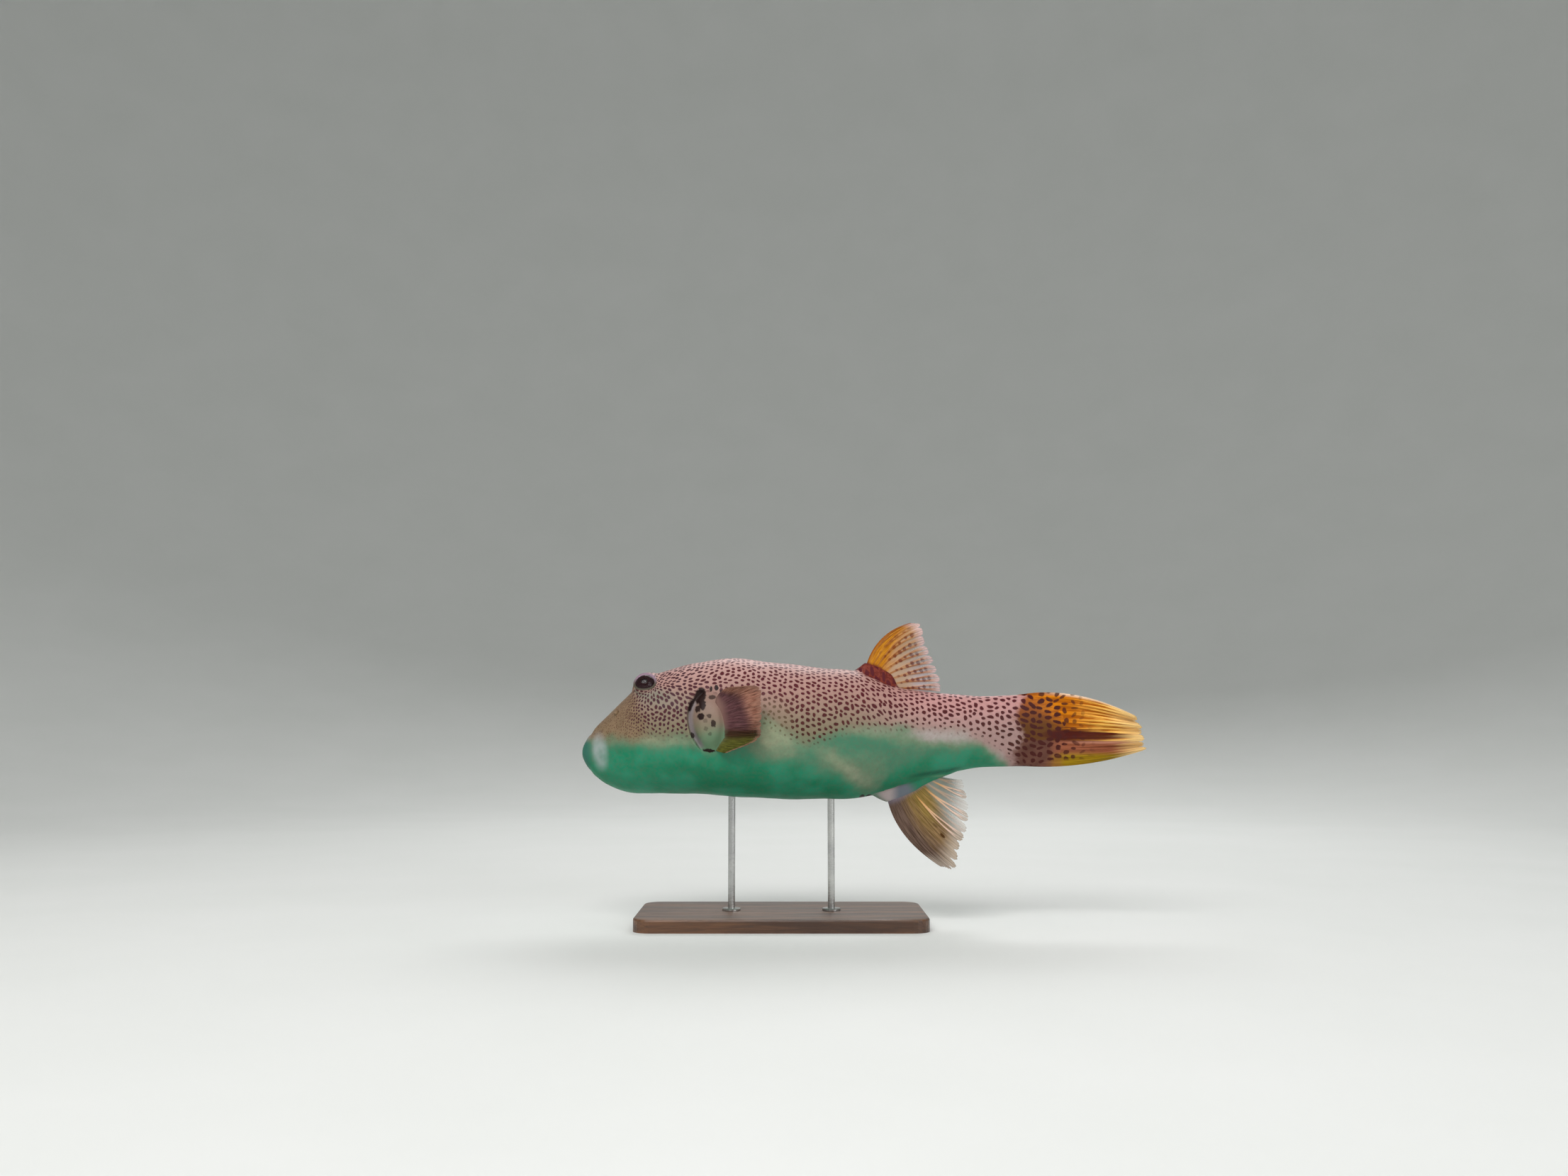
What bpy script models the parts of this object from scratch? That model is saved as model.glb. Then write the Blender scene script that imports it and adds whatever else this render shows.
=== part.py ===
"""Spotted pufferfish, a still life-size model that swims above a plain display stand.

Metres, +Z up. The fish faces -X and its left side faces -Y. The origin is the middle of the
stand's underside. Every size follows TOTAL_LENGTH, from the snout to the tip of the tail fin.
"""

import math

import bmesh
import bpy
import numpy as np
from mathutils import Matrix, Vector

# ------------------------------------------------------------------ driving dimensions

TOTAL_LENGTH = 0.800
MM = TOTAL_LENGTH / 800  # one millimetre on a fish 800 mm long
AXIS_HEIGHT = 0.270  # of the body's axis above the floor
STAND_STATION = 280 * MM  # from the snout back to the middle of the stand
GAP = 0.0003  # between neighbouring solids

# Cross-sections from the mouth to the root of the tail fin. Each has its distance behind the
# snout, then the heights of the back, the widest level and the belly above the body's axis,
# then half its width, and how square its upper and lower halves are: 2 is an ellipse. In mm.
SECTIONS = {
    "mouth": (0, -32, -32, -32, 0, 2.0, 2.0),
    "lip edge": (1.5, -20, -32, -43, 14, 2.0, 2.0),
    "lips": (7, -9, -32, -54, 23, 2.1, 2.1),
    "snout": (17, 4, -32, -65, 30, 2.2, 2.2),
    "chin": (34, 20, -30, -77, 40, 2.3, 2.3),
    "forehead": (60, 45, -27, -87, 53, 2.6, 2.4),
    "eyes": (90, 71, -24, -89.5, 66, 3.0, 2.4),
    "nape": (125, 86, -20, -89.5, 77, 2.6, 2.4),
    "gills": (168, 96, -17, -90, 85, 2.3, 2.4),
    "shoulders": (218, 100.5, -15, -94.5, 90, 2.2, 2.4),
    "belly": (280, 94, -14, -97, 90, 2.1, 2.4),
    "loins": (340, 87, -12, -97.5, 82, 2.1, 2.3),
    "vent": (388, 82, -10, -96, 70, 2.1, 2.2),
    "fin roots": (441, 61, -7, -83, 55, 2.1, 2.1),
    "behind the fins": (500, 52, -4, -65, 41, 2.0, 2.0),
    "narrow tail": (560, 47.5, -2, -53.5, 30, 2.0, 2.0),
    "tail end": (602, 48.5, -2, -52, 23, 2.0, 2.0),
    "tail fin root": (632, 48, -2, -51, 12, 2.0, 2.0),
    "tail edge": (643, 10, -2, -14, 0, 2.0, 2.0),
}
BODY_RINGS, BODY_COLUMNS = 48, 28
HEAD_ENDS, TRUNK_ENDS = 146, 532  # where the thin cuts part the body, mm behind the snout

# Eyes: set high in domes of their own, looking out and up.
ORBIT_AT = (92, 29, 53)  # behind the snout, out from the middle, above the axis
ORBIT_RADII = (33, 24, 27)
EYE_RADIUS = 17
EYE_SET_OUT = 11  # from the dome's centre towards the gaze
GAZE = (-0.10, 0.80, 0.56)

# Mouth: a low wide opening that a beak of two plates nearly fills.
MOUTH_AT = (8, 0, -32)
MOUTH_RADII = (17, 16, 7)
BITE_GAP = 1.6  # between the upper and the lower plate
BEAK_FRONT = -5.5  # front of the plates, from the middle of the mouth

# Nasal flaps: a small upright leaf on each side of the snout.
NASAL_FLAP_AT = (50, 22)  # behind the snout and above the axis
NASAL_FLAP_RADII = (4.5, 5, 6)

# Gill openings: an upright crescent slit in front of each pectoral fin, behind the snout and
# above the axis from top to bottom.
GILL_LINE = ((179, 55), (168, 51), (156, 37), (151, 18), (155, -4), (164, -20), (174, -33))
GILL_WIDTH, GILL_DEPTH = 3, 7

# Fleshy bases that the fins grow from: centre, radii and turn in the side view, in degrees.
DORSAL_BASE = ((413, 0, 71), (31, 11, 18), 23)
ANAL_BASE = ((456, 0, -78), (48, 12, 19), -24)
PECTORAL_BASE = ((182, 76, 11), (22, 20, 41), -4)

# Fins, in the side view as (behind the snout, above the axis). A root curve lies inside the
# flesh and a tip curve joins the ends of the rays, both from the leading ray to the last one.
# bow is how far the leading ray bends off its chord, and last_bow the same for the last ray.
DORSAL_FIN = {
    "root": ((401, 88), (420, 76), (434, 57)),
    "tips": ((466, 152.5), (481, 149), (485, 126), (497, 102), (506, 78), (508, 53)),
    "bow": (-19, 19),
    "last_bow": (0, 2),
    "rays": 11,
}
ANAL_FIN = {
    "root": ((429, -95), (462, -81), (497, -64)),
    "tips": ((506, -193), (524, -195), (532, -168), (543, -140), (545, -104), (536, -70)),
    "bow": (-27, -9),
    "last_bow": (0, -3),
    "rays": 11,
}
CAUDAL_FIN = {
    "root": ((606, 47), (606, -2), (606, -50)),
    "tips": ((786, 18.5), (789, 10), (795, -3), (800, -22), (798, -28)),
    "bow": (-4, 34),
    "last_bow": (0, -21),
    "rays": 9,
}
PECTORAL_FIN = {
    "root": ((192, 44), (197, 8), (188, -27)),
    "tips": ((212, 57), (250, 57), (254, 30), (254, 4), (248, -14), (206, -31)),
    "bow": (-4, 5),
    "last_bow": (2, -3),
    "rays": 13,
}
FIN_THICKNESS, PECTORAL_THICKNESS = 2.4, 1.8
CLOSED_FAN_PLEAT = 5.0  # how far the closed tail fin's pleats stand off its middle plane
PECTORAL_ROOT_OUT, PECTORAL_TIP_OUT = 84, 122  # out from the fish's middle plane
COLUMNS_PER_RAY, FIN_ROWS = 2, 5
NOTCH = 0.035  # how far the edge dips between two rays, as a share of the ray

# Display stand.
BASE_SIZE = (0.400, 0.200, 0.018)
BASE_CORNER, BASE_EDGE = 0.024, 0.0025
ROD_RADIUS, FLANGE_RADIUS, FLANGE_HEIGHT = 0.005, 0.013, 0.003
ROD_STATIONS = {"front": 210, "rear": 350}
ROD_DEPTH = 28 * MM  # how far a rod reaches into the belly
ROD_SIDES = 24


def clear_scene():
    for obj in list(bpy.data.objects):
        bpy.data.objects.remove(obj)


def collection(name):
    made = bpy.data.collections.new(name)
    bpy.context.scene.collection.children.link(made)
    return made


def material(name, colour, roughness, metallic=0.0):
    made = bpy.data.materials.new(name)
    made.use_nodes = True
    shader = made.node_tree.nodes["Principled BSDF"]
    shader.inputs["Base Color"].default_value = (*colour, 1)
    shader.inputs["Roughness"].default_value = roughness
    shader.inputs["Metallic"].default_value = metallic
    return made


def place(station, out, height):
    """A point given in mm behind the snout, out from the middle plane and above the axis."""
    return Vector((station * MM - STAND_STATION, out * MM, height * MM + AXIS_HEIGHT))


def as_object(bm, name, folder, finish=None):
    """Closes the bmesh into a smooth-shaded object in the folder."""
    mesh = bpy.data.meshes.new(name)
    bm.to_mesh(mesh)
    bm.free()
    mesh.shade_smooth()
    mesh.set_sharp_from_angle(angle=math.radians(40))
    made = bpy.data.objects.new(name, mesh)
    folder.objects.link(made)
    if finish:
        mesh.materials.append(finish)
    else:
        made.hide_render = True
        made.display_type = "WIRE"
    return made


def combine(target, other, operation):
    step = target.modifiers.new(f"{operation.lower()} {other.name}", "BOOLEAN")
    step.operation = operation
    step.solver = "EXACT"
    step.object = other


# ------------------------------------------------------------------ body


def curve_through(points, where):
    """The points of a smooth curve through the rows of points, at shares 0 to 1 of its rows."""
    rows = np.array(points, float)
    rows = np.vstack([2 * rows[0] - rows[1], rows, 2 * rows[-1] - rows[-2]])
    at = np.clip(np.asarray(where, float), 0, 1) * (len(points) - 1)
    first = np.minimum(at.astype(int), len(points) - 2)
    t = (at - first)[..., None]
    a, b, c, d = (rows[first + i] for i in range(4))
    return (
        2 * b + (c - a) * t + (2 * a - 5 * b + 4 * c - d) * t**2 + (3 * b - a - 3 * c + d) * t**3
    ) / 2


def power(value, square):
    return np.sign(value) * np.abs(value) ** (2 / square)


def section_at(station):
    """The body's section at a distance behind the snout, as a row of SECTIONS."""
    rows = curve_through(list(SECTIONS.values()), np.linspace(0, 1, 400))
    return [np.interp(station, rows[:, 0], column) for column in rows.T]


def half_width_at(station, height):
    """How far the flank stands out from the middle plane at a place in the side view, in mm."""
    _, back, waist, belly, half, square_up, square_down = section_at(station)
    up = height >= waist
    reach, square = (back - waist, square_up) if up else (waist - belly, square_down)
    share = min(1.0, abs(height - waist) / reach)
    return half * (1 - share**square) ** (1 / square)


def body_bmesh(margin=0.0):
    """The whole body from mouth to tail root, its surface moved out by margin."""
    bm = bmesh.new()
    bmesh.ops.create_uvsphere(bm, u_segments=BODY_COLUMNS, v_segments=BODY_RINGS, radius=1)
    sections = list(SECTIONS.values())
    for v in bm.verts:
        ball = v.co.normalized()
        along = 1 - math.acos(max(-1.0, min(1.0, ball.z))) / math.pi
        station, back, waist, belly, half, square_up, square_down = curve_through(sections, along)
        turn = math.atan2(ball.y, ball.x)
        up = turn >= 0
        square = square_up if up else square_down
        reach = back - waist if up else waist - belly
        v.co = place(
            station,
            max(half, 0) * power(math.cos(turn), square),
            waist + max(reach, 0) * power(math.sin(turn), square),
        )
    bmesh.ops.recalc_face_normals(bm, faces=bm.faces)
    if margin:
        bm.normal_update()
        for v in bm.verts:
            v.co += v.normal * margin
    return bm


def body_length(name, starts, ends, folder, finish):
    """The stretch of the body between two stations, closed with flat faces."""
    bm = body_bmesh()
    for station, keep_side in ((starts, 1), (ends, -1)):
        if station is None:
            continue
        bmesh.ops.bisect_plane(
            bm,
            geom=[*bm.verts, *bm.edges, *bm.faces],
            plane_co=place(station, 0, 0) + Vector((keep_side * GAP / 2, 0, 0)),
            plane_no=(-keep_side, 0, 0),
            clear_outer=True,
        )
        rim = [edge for edge in bm.edges if edge.is_boundary]
        bmesh.ops.holes_fill(bm, edges=rim, sides=0)
    return as_object(bm, name, folder, finish)


def ellipsoid(name, centre, radii, folder, finish=None, turn=0.0, margin=0.0, segments=20):
    """A ball stretched to radii in mm, turned nose down by turn degrees, at a place in mm."""
    bm = bmesh.new()
    bmesh.ops.create_uvsphere(bm, u_segments=segments, v_segments=segments // 2, radius=1)
    size = Matrix.Diagonal([radius * MM + margin for radius in radii]).to_4x4()
    shape = Matrix.Translation(place(*centre)) @ Matrix.Rotation(math.radians(turn), 4, "Y") @ size
    bmesh.ops.transform(bm, matrix=shape, verts=bm.verts)
    return as_object(bm, name, folder, finish)


def mirrored(point, side):
    """The point on the fish's left, -Y, for side -1 and on its right for side 1."""
    return (point[0], side * point[1], point[2])


def eye_centre(side):
    gaze = Vector(GAZE).normalized()
    return mirrored([at + EYE_SET_OUT * go for at, go in zip(ORBIT_AT, gaze)], side)


def add_head(folder, tools, finish):
    head = body_length("head", None, HEAD_ENDS, folder, finish)
    for side, word in ((-1, "left"), (1, "right")):
        dome = ellipsoid(f"orbit_dome_{word}", mirrored(ORBIT_AT, side), ORBIT_RADII, tools)
        socket = ellipsoid(
            f"eye_socket_{word}", eye_centre(side), [EYE_RADIUS] * 3, tools, margin=GAP
        )
        combine(head, dome, "UNION")
        combine(head, socket, "DIFFERENCE")
    cavity = ellipsoid("mouth_cavity", MOUTH_AT, MOUTH_RADII, tools, margin=GAP)
    combine(head, cavity, "DIFFERENCE")


def box_between(name, low, high, tools):
    """A box between two corners in mm, used to keep one side of a solid."""
    bm = bmesh.new()
    bmesh.ops.create_cube(bm, size=1)
    a, b = place(*low), place(*high)
    size = Matrix.Diagonal([abs(edge) for edge in b - a]).to_4x4()
    bmesh.ops.transform(bm, matrix=Matrix.Translation((a + b) / 2) @ size, verts=bm.verts)
    return as_object(bm, name, tools)


def add_beak(folder, tools, finish):
    """Two plates that fill the mouth above and below the bite."""
    station, _, height = MOUTH_AT
    front = station + BEAK_FRONT
    reach = 2 * max(MOUTH_RADII)
    for word, way in (("upper", 1), ("lower", -1)):
        plate = ellipsoid(f"beak_{word}", MOUTH_AT, MOUTH_RADII, folder, finish)
        near = (front, -reach, height + way * BITE_GAP / 2)
        far = (station + reach, reach, height + way * reach)
        combine(plate, box_between(f"beak_{word}_side", near, far, tools), "INTERSECT")


def add_nasal_flaps(skin, folder, finish):
    station, height = NASAL_FLAP_AT
    out = half_width_at(station, height)
    for side, word in ((-1, "left"), (1, "right")):
        at = (station, side * out, height)
        flap = ellipsoid(f"nasal_flap_{word}", at, NASAL_FLAP_RADII, folder, finish, segments=12)
        combine(flap, skin, "DIFFERENCE")


def cut_gills(trunk, tools):
    """Each slit follows the crescent line and goes a little way into the flank."""
    for side, word in ((-1, "left"), (1, "right")):
        bm = bmesh.new()
        bmesh.ops.create_grid(bm, x_segments=12, y_segments=1, size=0.5)
        for v in bm.verts:
            station, height = curve_through(GILL_LINE, v.co.x + 0.5)
            out = half_width_at(station, height) + 2 * GILL_DEPTH * v.co.y
            v.co = place(station, side * out, height)
        slit = as_object(bm, f"gill_slit_{word}", tools)
        wall = slit.modifiers.new("slit width", "SOLIDIFY")
        wall.thickness = GILL_WIDTH * MM
        wall.offset = 0
        combine(trunk, slit, "DIFFERENCE")


# ------------------------------------------------------------------ fins


def fin_places(fin, across, along):
    """Side view places (station, height) in the fin, at shares across its rays and along them."""
    root, tip = curve_through(fin["root"], across), curve_through(fin["tips"], across)
    share = np.asarray(across)[..., None]
    bow = np.array(fin["bow"]) * (1 - share) ** 1.5 + np.array(fin["last_bow"]) * share**1.5
    v = np.asarray(along)[..., None]
    return (1 - v) ** 2 * root + 2 * v * (1 - v) * ((root + tip) / 2 + bow) + v**2 * tip


def fin_object(name, fin, thickness, folder, finish, out_at):
    """A fan of rays as one sheet with a thickness. out_at says how far it stands out, in mm."""
    columns = (fin["rays"] - 1) * COLUMNS_PER_RAY
    bm = bmesh.new()
    bmesh.ops.create_grid(bm, x_segments=columns, y_segments=FIN_ROWS, size=0.5)
    for v in bm.verts:
        across, along = v.co.x + 0.5, v.co.y + 0.5
        between_rays = (1 - math.cos(2 * math.pi * across * (fin["rays"] - 1))) / 2
        reach = along * (1 - NOTCH * between_rays * along)
        station, height = fin_places(fin, across, reach)
        v.co = place(station, out_at(across, along), height)
    made = as_object(bm, name, folder, finish)
    wall = made.modifiers.new("fin thickness", "SOLIDIFY")
    wall.thickness = thickness * MM
    wall.offset = 0
    return made


def pleated(across, along):
    """A closed fan: neighbouring rays stand to opposite sides, more so towards the tip."""
    rays = CAUDAL_FIN["rays"] - 1
    side = math.cos(math.pi * across * rays)
    return CLOSED_FAN_PLEAT * side * min(1.0, 1.6 * along)


def flat(across, along):
    return 0.0


def swept_out(side):
    """A pectoral fin leaves the flank at its root and is cupped along its edges."""

    def out_at(across, along):
        cup = 1 - 0.35 * (2 * across - 1) ** 2
        reach = (PECTORAL_TIP_OUT - PECTORAL_ROOT_OUT) * along**1.2 * cup
        return side * (PECTORAL_ROOT_OUT + reach)

    return out_at


def add_fins(skin, folder, tools, flesh, membrane):
    """Fins and their fleshy bases, each trimmed clear of the body that it grows from."""

    def with_base(name, base, fin, thickness, out_at, side=0):
        centre, radii, turn = base
        centre = mirrored(centre, side) if side else centre
        base_name = name.replace("_fin", "_fin_base", 1)
        lobe = ellipsoid(base_name, centre, radii, folder, flesh, turn)
        combine(lobe, skin, "DIFFERENCE")
        room = ellipsoid(f"{base_name}_clearance", centre, radii, tools, turn=turn, margin=GAP)
        made = fin_object(name, fin, thickness, folder, membrane, out_at)
        for neighbour in (room, skin):
            combine(made, neighbour, "DIFFERENCE")

    with_base("dorsal_fin", DORSAL_BASE, DORSAL_FIN, FIN_THICKNESS, flat)
    with_base("anal_fin", ANAL_BASE, ANAL_FIN, FIN_THICKNESS, flat)
    for side, word in ((-1, "left"), (1, "right")):
        fin = f"pectoral_fin_{word}"
        with_base(fin, PECTORAL_BASE, PECTORAL_FIN, PECTORAL_THICKNESS, swept_out(side), side)
    caudal = fin_object("caudal_fin", CAUDAL_FIN, FIN_THICKNESS, folder, membrane, pleated)
    combine(caudal, skin, "DIFFERENCE")


# ------------------------------------------------------------------ stand


def add_stand_base(folder, finish):
    bm = bmesh.new()
    bmesh.ops.create_cube(bm, size=1)
    lift = Matrix.Translation((0, 0, BASE_SIZE[2] / 2))
    bmesh.ops.transform(bm, matrix=lift @ Matrix.Diagonal(BASE_SIZE).to_4x4(), verts=bm.verts)
    corners = [e for e in bm.edges if abs(e.verts[0].co.z - e.verts[1].co.z) > BASE_SIZE[2] / 2]
    bmesh.ops.bevel(
        bm, geom=corners, offset=BASE_CORNER, segments=6, profile=0.5, affect="EDGES"
    )
    top = max(bm.faces, key=lambda face: face.calc_center_median().z)
    bmesh.ops.bevel(
        bm, geom=list(top.edges), offset=BASE_EDGE, segments=2, profile=0.5, affect="EDGES"
    )
    as_object(bm, "stand_base", folder, finish)


def add_rods(folder, tools, trunk, finish):
    """Each rod stands on the base and ends in a hole in the belly, clear of it all round."""
    foot = BASE_SIZE[2] + GAP
    for word, station in ROD_STATIONS.items():
        belly = section_at(station)[3]
        at = place(station, 0, belly)
        end = at.z + ROD_DEPTH
        rod = turned_rod(f"stand_rod_{word}", foot, end, folder, finish)
        rod.location.x = at.x
        bm = bmesh.new()
        radius, top = ROD_RADIUS + GAP, end + GAP
        middle = Matrix.Translation((at.x, 0, (foot + top) / 2))
        bmesh.ops.create_cone(
            bm,
            cap_ends=True,
            segments=ROD_SIDES,
            radius1=radius,
            radius2=radius,
            depth=top - foot,
            matrix=middle,
        )
        combine(trunk, as_object(bm, f"rod_hole_{word}", tools), "DIFFERENCE")


def turned_rod(name, foot, end, folder, finish):
    """A round rod with a flange at its foot: half its outline, turned about its own axis."""
    edge = ROD_RADIUS * 0.15
    outline = (
        (0, end), (ROD_RADIUS - edge, end), (ROD_RADIUS, end - edge),
        (ROD_RADIUS, foot + FLANGE_HEIGHT), (FLANGE_RADIUS - edge, foot + FLANGE_HEIGHT),
        (FLANGE_RADIUS, foot + FLANGE_HEIGHT - edge), (FLANGE_RADIUS, foot), (0, foot),
    )
    bm = bmesh.new()
    dots = [bm.verts.new((radius, 0, height)) for radius, height in outline]
    for first, second in zip(dots, dots[1:]):
        bm.edges.new((first, second))
    made = as_object(bm, name, folder, finish)
    turn = made.modifiers.new("turned", "SCREW")
    turn.steps = turn.render_steps = ROD_SIDES
    turn.use_merge_vertices = True
    turn.merge_threshold = 0.00001
    return made


def main():
    clear_scene()
    fish = collection("spotted_pufferfish")
    tools = collection("cutters")
    spotted = material("spotted skin", (0.48, 0.36, 0.34), 0.55)
    amber = material("amber fin", (0.62, 0.30, 0.05), 0.5)
    dark_eye = material("dark eye", (0.03, 0.015, 0.015), 0.08)
    ivory = material("ivory beak", (0.80, 0.76, 0.66), 0.3)
    walnut = material("dark walnut", (0.07, 0.035, 0.02), 0.35)
    steel = material("brushed steel", (0.62, 0.62, 0.63), 0.3, 1.0)

    add_head(fish, tools, spotted)
    trunk = body_length("trunk", HEAD_ENDS, TRUNK_ENDS, fish, spotted)
    body_length("tail", TRUNK_ENDS, None, fish, spotted)
    for side, word in ((-1, "left"), (1, "right")):
        ellipsoid(f"eye_{word}", eye_centre(side), [EYE_RADIUS] * 3, fish, dark_eye)
    add_beak(fish, tools, ivory)
    skin = as_object(body_bmesh(GAP), "body_clearance", tools)
    cut_gills(trunk, tools)
    add_nasal_flaps(skin, fish, spotted)
    add_fins(skin, fish, tools, spotted, amber)
    add_stand_base(fish, walnut)
    add_rods(fish, tools, trunk, steel)


main()
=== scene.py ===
# %% [markdown]
# # A stellate pufferfish on a display stand
#
# The fish hangs still in the water with its head to the left. Its solid model is loaded first and is
# only a frame: it says where everything is and how big. This notebook then makes the surfaces that
# are seen, one by one: the spotted skin, the eyes, the beak, the fins and the stand.

# %% Load the solid model as a fixed frame
import math

import bpy
import numpy as np
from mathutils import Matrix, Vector, noise


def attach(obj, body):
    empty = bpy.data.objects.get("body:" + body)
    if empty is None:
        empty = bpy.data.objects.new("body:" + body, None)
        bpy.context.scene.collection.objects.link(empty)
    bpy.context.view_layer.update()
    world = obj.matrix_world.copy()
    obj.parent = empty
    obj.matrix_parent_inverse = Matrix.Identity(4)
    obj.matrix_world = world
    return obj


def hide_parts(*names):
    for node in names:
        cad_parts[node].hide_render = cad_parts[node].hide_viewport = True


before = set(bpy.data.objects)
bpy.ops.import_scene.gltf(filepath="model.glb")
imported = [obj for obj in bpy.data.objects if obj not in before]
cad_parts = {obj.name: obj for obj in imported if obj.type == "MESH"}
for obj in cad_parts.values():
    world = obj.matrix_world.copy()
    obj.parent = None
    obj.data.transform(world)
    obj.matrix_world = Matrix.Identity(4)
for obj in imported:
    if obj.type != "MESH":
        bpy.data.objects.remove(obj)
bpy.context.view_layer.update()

# %% [markdown]
# ## Where things are
#
# A fish is easiest to describe along its own body. Here every place has three numbers in millimetres:
# how far behind the tip of the snout it is, how far out from the middle plane, and how high above the
# body's axis. One function turns such places into the scene's metres, and its left side faces -Y.

# %% Places on the fish
MM = 0.001
SNOUT_X = -0.280
AXIS_Z = 0.270


def to_scene(places):
    """Rows of (behind the snout, out, above the axis) in mm as scene coordinates in metres."""
    places = np.asarray(places, float)
    return places * MM + np.array([SNOUT_X, 0, AXIS_Z])


def smoothstep(low, high, value):
    """0 up to low, rising softly to 1 at high."""
    t = np.clip((np.asarray(value, float) - low) / (high - low), 0, 1)
    return t * t * (3 - 2 * t)


def fade(low, high, value):
    """1 up to low, falling to 0 at high."""
    return 1 - smoothstep(low, high, value)


def between(starts, ends, value):
    """Rises from 0 to 1 over the first pair of numbers and falls again over the second."""
    return smoothstep(*starts, value) * fade(*ends, value)


def bell(value, width):
    """1 at zero, fading to nothing over about twice the width on either side."""
    return np.exp(-((np.asarray(value, float) / width) ** 2))


def curve_through(points, where):
    """The points of a smooth curve through the rows of points, at shares 0 to 1 of its rows."""
    rows = np.array(points, float)
    rows = np.vstack([2 * rows[0] - rows[1], rows, 2 * rows[-1] - rows[-2]])
    at = np.clip(np.asarray(where, float), 0, 1) * (len(points) - 1)
    first = np.minimum(at.astype(int), len(points) - 2)
    t = (at - first)[..., None]
    a, b, c, d = (rows[first + i] for i in range(4))
    return (
        2 * b + (c - a) * t + (2 * a - 5 * b + 4 * c - d) * t**2 + (3 * b - a - 3 * c + d) * t**3
    ) / 2


def deselect_all():
    for obj in bpy.context.selected_objects:
        obj.select_set(False)


def new_primitive(name, add, **settings):
    """Adds a primitive with the operator, alone in the selection, and names it."""
    deselect_all()
    add(**settings)
    obj = bpy.context.object
    obj.name = obj.data.name = name
    return obj


def values_of(items, name, width=1, kind=float):
    """One value, or a row of them, for each vertex, face or face corner of a mesh."""
    out = np.empty(len(items) * width, kind)
    items.foreach_get(name, out)
    return out.reshape(-1, width) if width > 1 else out


def set_coordinates(mesh, points):
    mesh.vertices.foreach_set("co", np.asarray(points, np.float32).ravel())
    mesh.update()


def finish_mesh(obj):
    """Turns every face outwards in edit mode, shades them smooth and counts them."""
    bpy.context.view_layer.objects.active = obj
    bpy.ops.object.mode_set(mode="EDIT")
    bpy.ops.mesh.select_all(action="SELECT")
    bpy.ops.mesh.normals_make_consistent(inside=False)
    bpy.ops.object.mode_set(mode="OBJECT")
    bpy.ops.object.shade_smooth()
    obj.data.calc_loop_triangles()
    print(f"{obj.name}: {len(obj.data.loop_triangles)} triangles")
    return obj


def add_attribute(obj, name, values):
    """Keeps one number for each vertex, which a material can read by name."""
    made = obj.data.attributes.new(name, "FLOAT", "POINT")
    made.data.foreach_set("value", np.asarray(values, np.float32))


def on_right(places):
    """The same places, or their mirror images, all on the fish's right side."""
    return places * [1, 0, 1] + np.abs(places) * [0, 1, 0]


# %% [markdown]
# ## The body's sections
#
# The body is a row of cross-sections. The first few lie inside the mouth: the surface starts at the
# throat, comes forward along the gums, rolls out over the lips and only then runs back along the
# head. Each section is a rounded box: 2 would make it an ellipse, and higher numbers square it up.

# %% The table of sections
# distance behind the snout, heights of back, widest level and belly, half width, squareness up, down
SECTIONS = {
    "throat": (17, -31.5, -32, -32.5, 0, 2.0, 2.0),
    "cheek pouch": (15, -28.5, -32, -35.5, 11, 2.2, 2.2),
    "gums": (8, -27, -32, -37, 14.0, 2.4, 2.4),
    "inner lip": (2.6, -27.8, -32, -36.4, 13.8, 2.3, 2.3),
    "lip crest": (0.2, -24.6, -32, -39.5, 16.6, 2.2, 2.2),
    "lip front": (1.6, -19.4, -32, -44.6, 20.0, 2.1, 2.1),
    "lips": (6.4, -10.5, -32, -53.0, 24.2, 2.1, 2.1),
    "lip fold": (11.5, -5.2, -32, -58.6, 26.2, 2.15, 2.15),
    "snout": (17.5, 3.8, -32, -65.4, 29.6, 2.2, 2.2),
    "chin": (34, 20, -30, -77, 40, 2.3, 2.3),
    "forehead": (60, 45, -27, -87, 53, 2.6, 2.4),
    "eyes": (90, 71, -24, -89.5, 66, 3.0, 2.4),
    "nape": (125, 86, -20, -89.5, 77, 2.6, 2.4),
    "gills": (168, 96, -17, -90, 85, 2.3, 2.4),
    "shoulders": (218, 100.5, -15, -94.5, 90, 2.2, 2.4),
    "belly": (280, 94, -14, -97, 90, 2.1, 2.4),
    "loins": (340, 87, -12, -97.5, 82, 2.1, 2.3),
    "vent": (388, 82, -10, -96, 70, 2.1, 2.2),
    "fin roots": (441, 61, -7, -83, 55, 2.1, 2.1),
    "behind the fins": (500, 52, -4, -65, 41, 2.0, 2.0),
    "narrow tail": (560, 47.5, -2, -53.5, 30, 2.0, 2.0),
    "tail end": (602, 48.5, -2, -52, 23, 2.0, 2.0),
    "tail fin root": (630, 49.2, -2, -51.6, 13, 2.0, 2.0),
    "tail fin flesh": (655, 45.5, -2, -48.2, 5.2, 2.0, 2.0),
    "tail tongue": (675, 33, -2, -36, 1.6, 2.0, 2.0),
    "tail edge": (684, 14, -2, -18, 0.4, 2.0, 2.0),
    "hidden end": (674, -1.9, -2, -2.1, 0, 2.0, 2.0),
}
# How far apart the rings of the mesh are at these sections, in mm.
RING_SPACING = {
    "throat": 1.6, "lip crest": 0.7, "snout": 1.1, "nape": 1.6, "shoulders": 2.8, "hidden end": 2.4,
}
COLUMNS = 200

section_rows = np.array(list(SECTIONS.values()), float)
section_names = list(SECTIONS)


def share_of(name):
    return section_names.index(name) / (len(section_names) - 1)


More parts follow.
